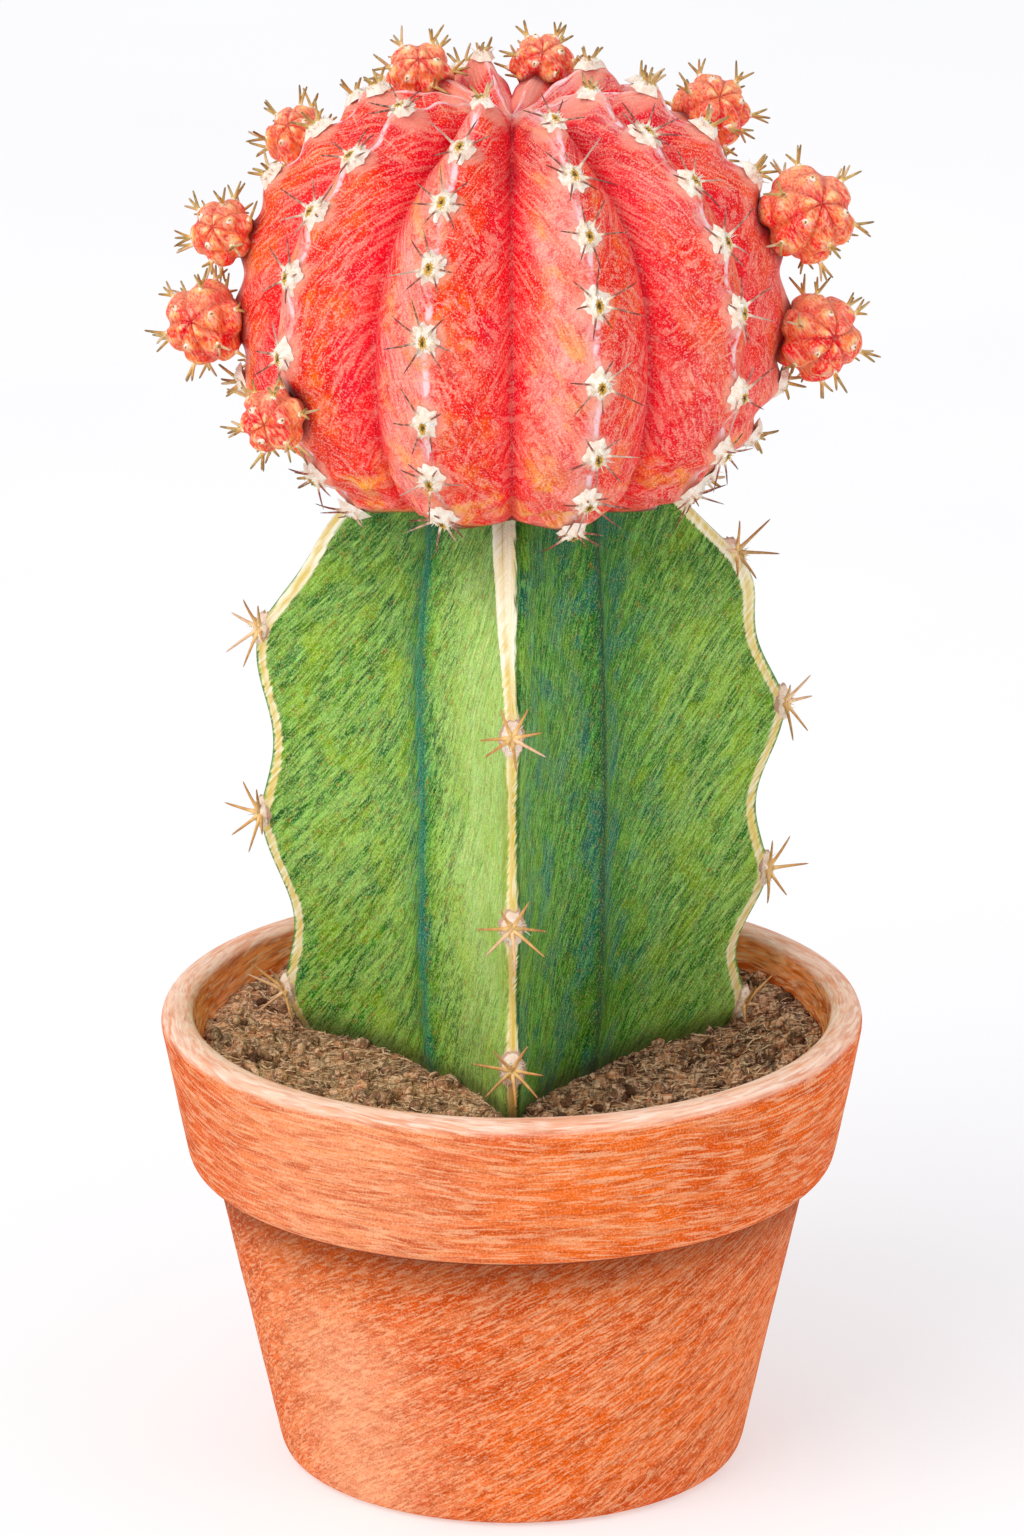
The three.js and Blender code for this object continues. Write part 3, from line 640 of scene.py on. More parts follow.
# %% How far a wing reaches at each height
def margin_dip(areoles, height):
    """Nothing at the areoles, and most between them."""
    stops = (areoles[0] + 20, *areoles, areoles[-1] - 17)
    dip = np.zeros_like(height)
    for top, bottom in zip(stops, stops[1:]):
        share = (top - height) / (top - bottom)
        wave = MARGIN_DIP * 0.5 * (1 - np.cos(math.tau * (share - 0.06)))
        dip = np.where((height <= top) & (height > bottom), wave, dip)
    return dip


def wing_radius(wing, height):
    """How far the middle of a margin stands from the axis."""
    _, _, reach, areoles = wing
    height = np.asarray(height, dtype=float)
    strength = smoothstep(height, -14, -4) * (1 - 0.75 * smoothstep(height, 38, 50))
    rounded = 1 + (reach - 1) * smoothstep(height, -20, -5)
    swell = sum(0.22 * bell(height - areole, 1.7) for areole in areoles)
    return wing_reach(height) * rounded - margin_dip(areoles, height) * strength + swell


for wing in WINGS:
    print(wing[0], "wing at its areoles:", wing_radius(wing, wing[3]).round(1).tolist(), "mm")

# %% One half of a wing's section, and the whole ring
CREST_STEPS = np.array([0, 0.3, 0.6, 0.85])
FLANK_STEPS = np.linspace(0, 1, 34) ** 1.3
CREST_FALL = 0.35  # how far the blunt margin falls off towards its edge
PULL_OUT, PULL_ASIDE = 0.86, 0.36  # where the flank's curve is drawn to, in valley radii


def half_section(wing, height, half_turn):
    """From the middle of the margin to the floor of the valley, one row for each height."""
    crest = wing_radius(wing, height)[:, None]
    width = (1.5 + 1.7 * smoothstep(height, 34, 54))[:, None] / 2
    valley = valley_reach(height)[:, None]
    t, c = FLANK_STEPS[None], CREST_STEPS[None]
    out = ((1 - t) ** 2 * (crest - CREST_FALL) + 2 * t * (1 - t) * PULL_OUT * valley
           + t * t * valley * math.cos(half_turn))
    aside = ((1 - t) ** 2 * width + 2 * t * (1 - t) * PULL_ASIDE * valley
             + t * t * valley * math.sin(half_turn))
    return (np.concatenate([crest - CREST_FALL * c * c, out], 1),
            np.concatenate([width * c, aside], 1))


def stem_rings(height):
    """Points of every ring, with each point's wing, side and way from crest and valley."""
    columns = {key: [] for key in ("x", "y", "wing", "valley", "from_crest", "from_valley")}
    for number, wing in enumerate(WINGS):
        following = WINGS[(number + 1) % 3]
        half_turn = math.radians(((following[1] - wing[1]) % 360) / 2)
        for owner, side in ((wing, 1), (following, -1)):
            out, aside = half_section(owner, height, half_turn)
            steps = np.hypot(np.diff(out, axis=1), np.diff(aside, axis=1))
            gone = np.concatenate([np.zeros((len(height), 1)), np.cumsum(steps, axis=1)], 1)
            turn = math.radians(owner[1])
            x = out * math.cos(turn) - side * aside * math.sin(turn)
            y = out * math.sin(turn) + side * aside * math.cos(turn)
            pick = slice(None) if side > 0 else slice(-2, 0, -1)
            for key, values in (("x", x), ("y", y), ("from_crest", side * gone),
                                ("from_valley", side * (gone - gone[:, -1:])),
                                ("valley", np.full_like(x, number)),
                                ("wing", np.full_like(x, WINGS.index(owner)))):
                columns[key].append(values[:, pick])
    return {key: np.concatenate(parts, 1) for key, parts in columns.items()}


print("one ring has", stem_rings(np.array([20.0]))["x"].size, "points")

# %% Stack the rings into one skin
levels = np.concatenate([np.linspace(STOCK_FOOT, -8, 12)[:-1], np.linspace(-8, 52, 210)[:-1],
                         np.linspace(52, STOCK_TOP, 12)])
rings = stem_rings(levels)
for _ in range(2):  # soften the edges of the margin and the floor of the valley
    for key in ("x", "y"):
        line = rings[key]
        rings[key] = (np.roll(line, 1, 1) + 2 * line + np.roll(line, -1, 1)) / 4
stem_columns = rings["x"].shape[1]
tangent_x = np.roll(rings["x"], -1, 1) - np.roll(rings["x"], 1, 1)
tangent_y = np.roll(rings["y"], -1, 1) - np.roll(rings["y"], 1, 1)
tangent = np.hypot(tangent_x, tangent_y)
levels_grid = np.repeat(levels[:, None], stem_columns, 1)
stem = np.stack([rings["x"], rings["y"], levels_grid], -1).reshape(-1, 3)
swells = 0.16 * waviness(stem * (1, 1, 0.45), 8, 21) + 0.05 * waviness(stem, 2.6, 22)
swells = swells.reshape(rings["x"].shape) * smoothstep(np.abs(rings["from_crest"]), 1.2, 4)
stem[:, 0] += (swells * tangent_y / tangent).ravel()
stem[:, 1] -= (swells * tangent_x / tangent).ravel()
stem[-stem_columns:, 2] = GRAFT_LEVEL + 0.1
stem[:, 2] += POT_HEIGHT
print("stem skin:", len(levels), "rings of", stem_columns, "points")

# %% Marks on the stem's skin
wing_of, side_mm, gap_mm = (rings[key] for key in ("wing", "from_crest", "from_valley"))
level, valley_of = levels_grid, rings["valley"]
is_front = wing_of == 0
across_front = np.clip(np.abs(side_mm) / (np.abs(side_mm) + np.abs(gap_mm)), 0, 1)
# How far the shade of a valley spreads over the flank on its left and the one on its right.
SHADE_SPREAD = {0: (7.0, 8.0), 1: (3.0, 3.0), 2: (2.6, 1.6)}
spread = np.zeros_like(level)
for valley, (before, after) in SHADE_SPREAD.items():
    spread += (valley_of == valley) * np.where(side_mm > 0, before, after)


def areole_distance(wing_number, level, side):
    """Distance of each point to the nearest areole of its own wing."""
    nearest = np.full(level.shape, 99.0)
    for number, wing in enumerate(WINGS):
        for areole in wing[3]:
            gap = np.hypot(level - areole, side * 1.15)
            nearest = np.where(wing_number == number, np.minimum(nearest, gap), nearest)
    return nearest


# Strokes fan out: they are steep in a valley and lean over towards a side margin.
STEEP, LEANING, FAN_MM = 2.2, 1.05, 4
far_slope = np.where(is_front, STEEP, LEANING)
fan = far_slope * gap_mm + (STEEP - far_slope) * FAN_MM * np.sign(gap_mm) * (
    1 - np.exp(-np.abs(gap_mm) / FAN_MM))
across_strokes = (level - fan) * np.where(is_front, 0.55, 0.9)
# The pale band of the front margin is widest under the graft, where it also swings aside.
swing = -1.05 * smoothstep(level, 34, 50)
nearest_areole = areole_distance(wing_of, level, side_mm)
front_band = 0.4 + 0.98 * smoothstep(level, 36, 49) + 0.4 * bell(nearest_areole, 4)
from_swing = side_mm - swing
side_band = 0.55 + 0.4 * smoothstep(level, 33, 44)
stem_marks = {
    "combed": np.stack([0.6 * gap_mm + 0.8 * level, 30 * valley_of, across_strokes], -1),
    "crest_mm": np.abs(side_mm),
    "band_mm": np.abs(np.where(is_front, from_swing, np.abs(side_mm) - 0.85 - side_band)),
    "band_width": np.where(is_front, front_band, side_band),
    "band_shadow": is_front * bell(from_swing - front_band - 0.2, 0.35),
    # Painted shade: an olive shade beside the left edge of the front margin's band.
    "band_olive_shade": is_front * bell(from_swing + front_band + 0.5, 0.8) * bell(level - 22, 15),
    "sunlit": (is_front & (side_mm < 0)) | (wing_of == 2),
    "sunny": (is_front * (side_mm < 0) * (1 - smoothstep(across_front, 0.5, 1.0))
              * (0.35 + 0.65 * smoothstep(level, -6, 14))),
    "shady": is_front * (side_mm > 0) * bell(across_front - 0.45, 0.6),
    "front": is_front,
    "level": level,
    "valley": bell(gap_mm, 0.75),
    "valley_shade": bell(gap_mm, spread),
    # Painted shadow of the red head on the top of the stem.
    "graft": smoothstep(level, np.where(is_front, 42.0, 32.0), 52.0),
    "low": 1 - smoothstep(level, -4, 17),
    # Painted shade on the stem just above the soil.
    "soil_line_shade": 1 - smoothstep(level, -5.2, -2.6),
    "areole_mm": nearest_areole,
}
stem_points = np.concatenate([stem, [(0, 0, POT_HEIGHT + STOCK_FOOT),
                                     (0, 0, POT_HEIGHT + GRAFT_LEVEL + 0.1)]])
print("marks on the stem:", ", ".join(stem_marks))

# %% [markdown]
# ## Waxy green skin
# The stem's skin is a thin wax over deep green. Light and shade are painted into it: it is
# lighter where a wing stands out and on the flank that faces the lamp, and darker in the
# valleys and under the graft. It grew in stretch lines, which is why it looks brushed. The
# strokes are read from a coordinate that unrolls each flank, so they can fan out: steep in a
# valley and leaning over towards a margin. A last thin glaze puts teal in the painted shade
# and a dark line of painted shade in each valley. The horny margin is its own band: cream with
# a yellow middle line.

# %% The strokes and clouds of the green
green, bench, place = start_finish("green_skin")
combed = bench.mark("combed", "Vector")
broad = hatch(bench, combed, (15.0, 15.0, 1.7), (-0.05, 0.07), 0.5, 18.0, 0.06)
middle = hatch(bench, combed, (6.5, 6.5, 0.75), (0.08, -0.06), 0.4, 9.0, 0.06)
thin = bench.use(strokes, Place=combed, Size=(1.9, 1.9, 0.34), Tilt=0.04, Bend=1.4, Edge=0.05)
tiny = bench.use(strokes, Place=bench.arrow("ADD", combed, (3, 11, 5)), Size=(0.95, 0.95, 0.2),
                 Tilt=-0.12, Bend=1.8, Edge=0.05)
cloudy = clouds(bench, combed, 15.0, 0.4, 0.62)
sulphur = clouds(bench, combed, 6.0, 0.47, 0.62, (50, 0, 7))
teal = clouds(bench, combed, 5.0, 0.46, 0.62, (0, 40, 30))
brown = bench.use(flecks, Place=bench.arrow("ADD", combed, (7, 7, 7)), Size=0.7, Rarity=0.56)
tooth = bench.use(flecks, Place=place, Size=0.17, Rarity=0.5)
print("laid out:", len(bench.tree.nodes), "nodes")

# %% Where the green is in light, in shade or in a valley
front, shady, sunny, sunlit, valley, valley_shade, graft = (bench.mark(name) for name in (
    "front", "shady", "sunny", "sunlit", "valley", "valley_shade", "graft"))
# The seam and the crease are a line of painted shade along the floor of each valley: dark green
# on the flanks turned from the lamp, teal on those that face it.
seam = bench.number("MULTIPLY", valley, bench.between(0.3, 1.4, middle["Height"]))
crease = bench.number("POWER", valley, 1.6)
dim = bench.number("MAXIMUM", valley_shade, bench.number("MULTIPLY", shady, 0.8))
open_skin = bench.number("MULTIPLY", bench.between(1.0, 0.64, dim),
                         bench.between(1.0, 0.55, graft))
near_front = bench.between(0.35, 0.8, bench.number("MAXIMUM", dim, front))
highlight = bench.blend((168, 214, 112), (128, 204, 92), dim)
print("with light and shade:", len(bench.tree.nodes), "nodes")

# %% The coats of the green
skin = bench.coats(
    bench.blend((112, 160, 48), (34, 114, 36), cloudy),
    ((180, 194, 40), sulphur, 0.5),
    ((38, 146, 36), "low", 0.5),
    ((36, 122, 30), shady, 0.7),
    ((12, 104, 104), teal, bench.between(0.25, 0.6, shady)),
    # Broad strokes, then a pale flank that faces the lamp.
    ((16, 84, 26), broad["Dark"], 0.7),
    ((184, 214, 112), broad["Pale"], open_skin, 0.6),
    ((214, 234, 142), sunny, bench.between(0.75, 1.0, broad["Pale"])),
    ((116, 182, 66), middle["Dark"], sunny, 0.6),
    ((242, 250, 200), middle["Pale"], sunny, 0.6),
    # Painted shade in the valleys, and the painted shadow of the head on the skin under the
    # graft.
    ((4, 98, 24), valley_shade, 0.9),
    ((0, 88, 100), teal, dim, 0.5),
    (bench.blend((0, 74, 50), (14, 138, 126), sunlit), seam, 0.75),
    ((18, 82, 30), graft, 0.85),
    # Finer and finer strokes.
    ((12, 84, 26), middle["Dark"], bench.between(0.6, 0.2, sunny)),
    (highlight, middle["Pale"], open_skin, 0.62),
    ((4, 64, 26), thin["Dark"], bench.between(0.6, 0.25, sunny)),
    (highlight, thin["Pale"], open_skin, 0.6),
    ((4, 62, 26), tiny["Dark"], near_front, bench.between(0.8, 0.3, sunny)),
    (bench.blend(highlight, (140, 208, 100), dim), tiny["Pale"], near_front, open_skin,
     bench.between(1.0, 0.3, valley_shade)),
    # A last thin glaze: teal in the painted shade, yellow green in the open, a dark line of
    # painted shade in each valley.
    ((8, 108, 112), teal, dim, 0.36),
    ((150, 186, 40), sulphur, bench.between(0.22, 0.14, dim)),
    (bench.blend((6, 60, 44), (10, 122, 112), sunlit), crease,
     bench.between(0.5, 0.95, middle["Height"]), bench.between(1.0, 0.72, sunlit)),
    ((150, 112, 34), brown["Mask"], 0.5),
    ((226, 240, 176), tooth["Mask"], open_skin, 0.34),
    ((12, 70, 26), tooth["Pits"], 0.36))
print("with the coats:", len(bench.tree.nodes), "nodes")

# %% The margin, from how far a point is from the middle of the band, in millimetres
crest, from_band, half_width = (bench.mark(name) for name in (
    "crest_mm", "band_mm", "band_width"))
ragged = bench.wobble(thin["Height"], 0.9)
band_edge = bench.number("ADD", bench.number("SUBTRACT", half_width, from_band), ragged)
vein = bench.window(bench.number("ADD", from_band, ragged), 0.46, 0.1)
slit = bench.number("MULTIPLY", bench.window(from_band, 0.2, 0.08),
                    bench.window("level", 44.0, 51.0))
horn = bench.coats(
    bench.blend((252, 246, 222), (240, 230, 184), cloudy),
    ((214, 202, 140), middle["Dark"], 0.3),
    ((230, 210, 122), bench.window(half_width, 1.0, 0.6), 0.5),
    ((255, 252, 236), middle["Pale"], 0.6),
    ((216, 180, 62), vein, bench.between(0.85, 0.5, middle["Pale"]),
     bench.between(0.8, 0.35, bench.window(half_width, 0.8, 1.3))),
    ((132, 130, 84), slit, front, 0.4))
skin = bench.coats(
    skin,
    ((64, 124, 60), bench.window(crest, 0.85, 0.6), bench.number("SUBTRACT", 1.0, front), 0.9),
    # Painted shade on both sides of the front margin's band.
    ((12, 66, 34), "band_shadow", 0.7),
    ((140, 150, 52), "band_olive_shade", 0.6),
    (horn, bench.window(band_edge, -0.12, 0.2)),
    ((236, 208, 160), bench.window("areole_mm", 2.4, 1.5), 0.6),
    # Painted shade just above the soil.
    ((58, 50, 30), "soil_line_shade", 0.7))
rough = bench.spread(broad["Height"], 0.6, 0.42)
relief = bench.between(bench.number("ADD", middle["Height"], thin["Height"]), tooth["Height"],
                       bench.window(crest, 0.9, 0.6))
close_finish(bench, skin, rough, relief, 0.07, 1.08, Specular_IOR_Level=0.12,
             Subsurface_Weight=0.06, Subsurface_Scale=0.0015)
rootstock = make_piece("rootstock_skin", stem_points, capped_faces(len(levels), stem_columns),
                       [green], with_ends(stem_marks))
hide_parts("rootstock")

# %% [markdown]
# ## The soil
# Potting soil is a heap of small things: rotted bark, crumbs stuck together and pale fibres.
# A bumpy sheet alone looks like carpet, so the bed carries the broad lumps and hundreds of
# real crumbs and fibres are strewn over it. Each crumb is a small ball of triangles pushed out
# of shape, and all crumbs are gathered into one mesh to keep the scene light.

# %% The bed
SOIL_EDGE = POT_HEIGHT - 3.7
SOIL_DISH = 1.9
WALL_RADIUS = 30.82
SOIL_COLUMNS = 220
soil_radii = np.concatenate([np.linspace(2, 11, 6)[:-1], np.linspace(11, WALL_RADIUS, 70)])


def soil_height(x, y):
    """The settled surface: a dish round the stem, with lumps towards the wall."""
    radius = np.hypot(x, y)
    broad = np.sin(0.42 * x + 1.3) * np.cos(0.37 * y - 0.4)
    lumps = np.sin(1.13 * x + 0.7 * y) * np.sin(0.9 * y - 0.55 * x + 2.1)
    grains = np.sin(2.7 * x - 1.9 * y + 0.3) * np.sin(2.3 * y + 1.6 * x)
    relief = 0.55 * (0.35 * broad + 0.4 * lumps + 0.25 * grains)
    spots = np.stack([x, y, 0 * x], -1)
    fine = 0.16 * waviness(spots, 1.9, 51) + 0.08 * waviness(spots, 0.9, 52)
    dish = SOIL_DISH * (1 - smoothstep(radius, 21, 31))
    return SOIL_EDGE - dish + relief * smoothstep(radius, 12, 29) + fine


soil_turn = 360 * np.arange(SOIL_COLUMNS) / SOIL_COLUMNS
surface = around_axis(soil_turn[None], soil_radii[::-1][:, None], 0.0).reshape(-1, 3)
surface[:, 2] = soil_height(surface[:, 0], surface[:, 1])
side = [around_axis(soil_turn, r, z) for r, z in
        ((17.5, 5.1), (19.0, 5.5), (20.0, 6.9), (25.0, 23.6), (30.4, SOIL_EDGE - 1.2))]
soil_points = np.concatenate([*side, surface, [(0, 0, 5.1), (0, 0, SOIL_EDGE - SOIL_DISH)]])
soil_rows = len(side) + len(soil_radii)
print("soil surface from", *(round(float(way(surface[:, 2])), 1) for way in (np.min, np.max)),
      "mm above the floor")

# %% [markdown]
# ## Damp earth
# Wet humus is nearly black, dry crumbs are a warm brown, and torn bark and coir are tan. The
# crumbs carry their own tone as a number on each point, so one material serves the bed, the
# crumbs and the fibres, and no two crumbs look alike.

# %% The soil finish
earth, bench, place = start_finish("potting_soil")
tone = bench.mark("tone")
cloudy = clouds(bench, place, 3.0, 0.38, 0.62)
litter = bench.use(strokes, Place=place, Size=(1.6, 0.32, 0.5), Tilt=0.3, Bend=2.5)
crossed = bench.use(strokes, Place=place, Size=(0.3, 1.5, 0.5), Tilt=-0.3, Bend=2.5)
grit = bench.use(flecks, Place=place, Size=0.28, Rarity=0.53)
# Painted light and shade: the soil is painted paler towards the lamp, on the left, and darker
# away from it.
from_left = bench.put("ShaderNodeSeparateXYZ", {0: place}).outputs[0]
lamp_side_light = bench.window(from_left, 18.0, -4.0)
soil_tint = bench.coats(
    bench.blend((216, 146, 98), (122, 70, 40), cloudy),
    ((255, 212, 172), litter["Pale"], 0.8),
    ((252, 216, 176), crossed["Pale"], 0.5),
    ((244, 216, 180), grit["Mask"], 0.45),
    ((44, 22, 10), litter["Dark"], 0.7),
    ((38, 18, 8), crossed["Dark"], 0.55),
    ((255, 206, 158), lamp_side_light, 0.12),
    ((54, 26, 12), bench.number("SUBTRACT", 1.0, lamp_side_light), 0.16),
    # The tone of a crumb or a fibre: tan above the middle, dark below it.
    ((244, 208, 166), bench.window(tone, 0.55, 1.0)),
    ((70, 42, 24), bench.window(tone, 0.42, 0.0)))
relief = bench.number("ADD", litter["Height"], grit["Height"])
close_finish(bench, soil_tint, 0.93, relief, 0.25, Specular_IOR_Level=0.15)
soil = make_piece("soil_bed", soil_points, capped_faces(soil_rows, SOIL_COLUMNS), [earth],
                  {"tone": np.full(len(soil_points), 0.48)})
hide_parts("soil")

# %% Gathering many small shapes into one piece
class Heap:
    """Collects small shapes that become one mesh."""

    def __init__(self):
        self.points, self.faces, self.marks, self.finish, self.count = [], [], {}, [], 0

    def add(self, points, faces, finish=0, **marks):
        self.faces += [[corner + self.count for corner in face] for face in faces]
        self.finish += [finish] * len(faces)
        self.points.append(points)
        for mark, values in marks.items():
            values = np.broadcast_to(values, (len(points),))
            self.marks.setdefault(mark, []).append(values)
        self.count += len(points)

    def build(self, name, finishes, slot=None):
        marks = {mark: np.concatenate(parts) for mark, parts in self.marks.items()}
        return make_piece(name, np.concatenate(self.points), self.faces, finishes, marks,
                          self.finish)


def ball_shape(subdivisions):
    """Points and faces of a ball of even triangles, one unit in radius."""
    shape = bmesh.new()
    bmesh.ops.create_icosphere(shape, subdivisions=subdivisions, radius=1.0)
    points = np.array([corner.co[:] for corner in shape.verts])
    faces = [[corner.index for corner in face.verts] for face in shape.faces]
    shape.free()
    return points, faces


def random_turn(chance):
    """A turn about a random axis, as a matrix. The sign keeps it from being a mirror."""
    square, _ = np.linalg.qr(chance.normal(size=(3, 3)))
    return square * np.sign(np.linalg.det(square))


ball_points, ball_faces = ball_shape(2)
print("a crumb has", len(ball_faces), "faces")

# %% Strewing crumbs and fibres
CRUMBS, FIBRES, LONG_FIBRES = 1100, 1300, 90
chance = np.random.default_rng(5)
at_ground = np.searchsorted(levels, -5.0)
ground = rings["x"][at_ground], rings["y"][at_ground]
stem_turns = np.degrees(np.arctan2(ground[1], ground[0]))
stem_order = np.argsort(stem_turns)


def stem_radius(azimuth):
    """Radius of the stem's section at soil level."""
    return np.interp(azimuth, stem_turns[stem_order], np.hypot(*ground)[stem_order], period=360)


def on_soil(x, y, rise=0.0):
    """The point of the soil's surface there, or a little above it."""
    return np.array([x, y, float(soil_height(np.array(x), np.array(y))) + rise])


def strewn_spot(margin, rise):
    """A random place on the open soil between the stem and the wall."""
    while True:
        azimuth = chance.uniform(-180, 180)
        radius = math.sqrt(chance.uniform(8 ** 2, (WALL_RADIUS - margin) ** 2))
        if radius > stem_radius(azimuth) + 0.3 * margin:
            x, y, _ = around_axis(azimuth, radius, 0.0)
            return on_soil(x, y, rise)


crumbs = Heap()
for _ in range(CRUMBS):
    size = 0.22 + 0.7 * chance.random() ** 3
    spot = strewn_spot(size + 0.2, 0.25 * size)
    shape = ball_points * (1 + 0.35 * waviness(ball_points, 1.7, chance.integers(1000))[:, None])
    shape = shape * chance.uniform(0.6, 1.3, 3) * size @ random_turn(chance)
    crumbs.add(shape + spot, ball_faces, tone=chance.uniform(0.08, 0.74))
crumbs.build("soil_crumbs", [earth], slot="soil")

fibres = Heap()
for number in range(FIBRES):
    length = chance.uniform(2.0, 3.2) if number < LONG_FIBRES else chance.uniform(0.7, 1.9)
    spot, heading = strewn_spot(1.3, 0.0), chance.uniform(0, math.tau)
    way = np.array([math.cos(heading), math.sin(heading), chance.normal() * 0.12])
    across = np.array([-way[1], way[0], 0.0])
    bend, width = chance.normal() * 0.25, chance.uniform(0.06, 0.13)
    rows = []
    for t in np.linspace(-0.5, 0.5, 5):
        middle = spot + way * length * t + across * bend * (4 * t * t - 0.5) * length * 0.5
        middle = on_soil(middle[0], middle[1], 0.28)
        thick = width * (1 - 1.6 * abs(t) ** 1.5)
        rows += [middle + across * thick, middle + (0, 0, 0.75 * thick),
                 middle - across * thick, middle - (0, 0, 0.75 * thick)]
    fibres.add(np.array(rows), ring_faces(5, 4) + [[3, 2, 1, 0], [16, 17, 18, 19]],
               tone=chance.uniform(0.6, 0.98))
fibres.build("soil_fibres", [earth], slot="soil")

# %% [markdown]
# ## Spines and felt
# Every spine of a cactus grows from an areole, a cushion of short felt. A spine is a cone that
# bends a little, thick where it leaves the felt. A hair system would be the quick way, but
# real geometry can be exported and printed. So one function grows a tapered, bent cone from a
# foot, and a second one makes a felt cushion whose rim reaches out along each spine.

# %% Growing one spine
SPINE_STEPS = np.array([-0.1, 0.1, 0.28, 0.52, 0.78, 0.93])
SPINE_WIDTHS = np.array([2.2, 1.35, 1.0, 0.85, 0.6, 0.34])


def two_sides(direction):
    """Two directions at right angles to a third."""
    other = np.array([0, 0, 1.0]) if abs(direction[2]) < 0.8 else np.array([1.0, 0, 0])
    first = unit(np.cross(direction, other))
    return first, np.cross(direction, first)


def spine_shape(foot, direction, length, thick, curl, sides=6, blunt=0.0):
    """A bent taper. The curl is how far its tip is drawn aside, in millimetres."""
    widths = SPINE_WIDTHS + blunt * (1.15 - SPINE_WIDTHS)
    first, second = two_sides(direction)
    turn = math.tau * np.arange(sides) / sides
    circle = np.cos(turn)[:, None] * first + np.sin(turn)[:, None] * second
    rows = [foot + direction * length * t + curl * t * t + circle * thick * w
            for t, w in zip(SPINE_STEPS, widths)]
    tip = foot + direction * length + curl
    points = np.concatenate([*rows, [tip]])
    count = len(SPINE_STEPS) * sides
    faces = (ring_faces(len(SPINE_STEPS), sides) + [list(range(sides))[::-1]]
             + fan_faces(count, count - sides, sides, upward=True))
    along = np.concatenate([np.repeat(np.clip(SPINE_STEPS, 0, 1), sides), [1.0]])
    return points, faces, along


straight_up = np.array([0, 0, 1.0])
print("a spine has", len(spine_shape(0, straight_up, 3, 0.1, 0)[0]), "points")

# %% A felt cushion and its wool
FELT_RINGS = np.array([0.14, 0.3, 0.46, 0.62, 0.78, 0.9, 1.0])


def felt_shape(foot, normal, upward, along, across, height, arms, chance, reach=0.3, sides=36):
    """A woolly dome. Its ragged rim stretches towards each arm, an angle from upward."""
    sideways, level = frame_on(normal, upward)
    turn = math.tau * np.arange(sides) / sides
    rim = 1 + 0.07 * chance.normal(size=sides)
    for arm in arms:
        gap = (turn - arm + math.pi) % math.tau - math.pi
        rim += reach * bell(gap, 0.22)
    points, middle = [], []
    for ring in FELT_RINGS:
        lift = height * (1 - ring ** 2.6) - 0.28 * ring ** 4 - 0.35 * height * bell(ring, 0.3)
        lift = lift + 0.09 * height * chance.normal(size=sides) * (1 - ring ** 6)
        spot = ring * (1 + (rim - 1) * ring ** 2)
        points.append(foot + np.outer(spot * across * np.sin(turn), sideways)
                      + np.outer(spot * along * np.cos(turn), level)
                      + np.outer(lift, normal))
        middle.append(np.hypot(1.3 * ring * np.sin(turn), ring * np.cos(turn) + 0.14))
    points.append([foot + normal * height * 0.6])
    middle.append([0.14])
    count = len(FELT_RINGS) * sides
    faces = ([face[::-1] for face in ring_faces(len(FELT_RINGS), sides)]
             + fan_faces(count, 0, sides, upward=True))
    return np.concatenate(points), faces, np.concatenate(middle)


def lean_away(normal, upward, lean, turn):
    """The direction that leans from the normal by an angle, turned round it from upward."""
    sideways, level = frame_on(normal, upward)
    return (normal * math.cos(lean) + level * math.sin(lean) * math.cos(turn)
            + sideways * math.sin(lean) * math.sin(turn))


def add_tufts(heap, count, foot, normal, upward, size, chance, lift=0.0):
    """Short curly hairs that break the smooth rim of a felt cushion."""
    for _ in range(count):
        turn, lean = chance.uniform(0, math.tau), math.radians(chance.uniform(25, 80))
        way = lean_away(normal, upward, lean, turn)
        out = lean_away(normal, upward, math.pi / 2, turn)
        root = foot + normal * 0.2 + out * size * chance.uniform(0.45, 1.0)
        points, faces, _ = spine_shape(root, way, chance.uniform(0.35, 0.7), 0.055,
                                       chance.normal(size=3) * 0.12, sides=3)
        heap.add(points + lift, faces, middle=0.8, rim=0.0)


to_camera = np.array([0, -1.0, 0])
print("30 degrees up from the camera's way:",
      lean_away(to_camera, straight_up, math.radians(30), 0.0).round(2).tolist())

# %% [markdown]
# ## Horn and wool
# A spine is dead horn. It is creamy where it is youngest, at its foot, and darkens to tan or
# brown at the tip. A number that says how far along the spine a point is drives the change,
# in a group that the spines of both plants share with their own three colours. The felt is
# matt and woolly, with a darker eye in the middle where the spines grow.

# %% The spine group and its finishes
spine_tint, bench, entry, leave = start_group(
    "spine_tint",
    [("Along", FLOAT, 0.0), ("Foot", "NodeSocketColor", colour(240, 230, 200)),
     ("Middle", "NodeSocketColor", colour(190, 140, 90)),
     ("Tip", "NodeSocketColor", colour(90, 50, 40)), ("Tone", FLOAT, 0.5)], [])
spine_tint.interface.new_socket("Color", in_out="OUTPUT", socket_type="NodeSocketColor")
grown = bench.coats(
    entry["Foot"],
    (entry["Middle"], bench.window(entry["Along"], 0.08, 0.34)),
    (entry["Tip"], bench.window(entry["Along"], 0.4, 0.95)),
    ((250, 220, 200), bench.window(entry["Tone"], 0.72, 1.0), 0.45),
    ((70, 30, 26), bench.window(entry["Tone"], 0.3, 0.0), 0.4))
bench.tree.links.new(grown, bench.tree.nodes["Group Output"].inputs["Color"])


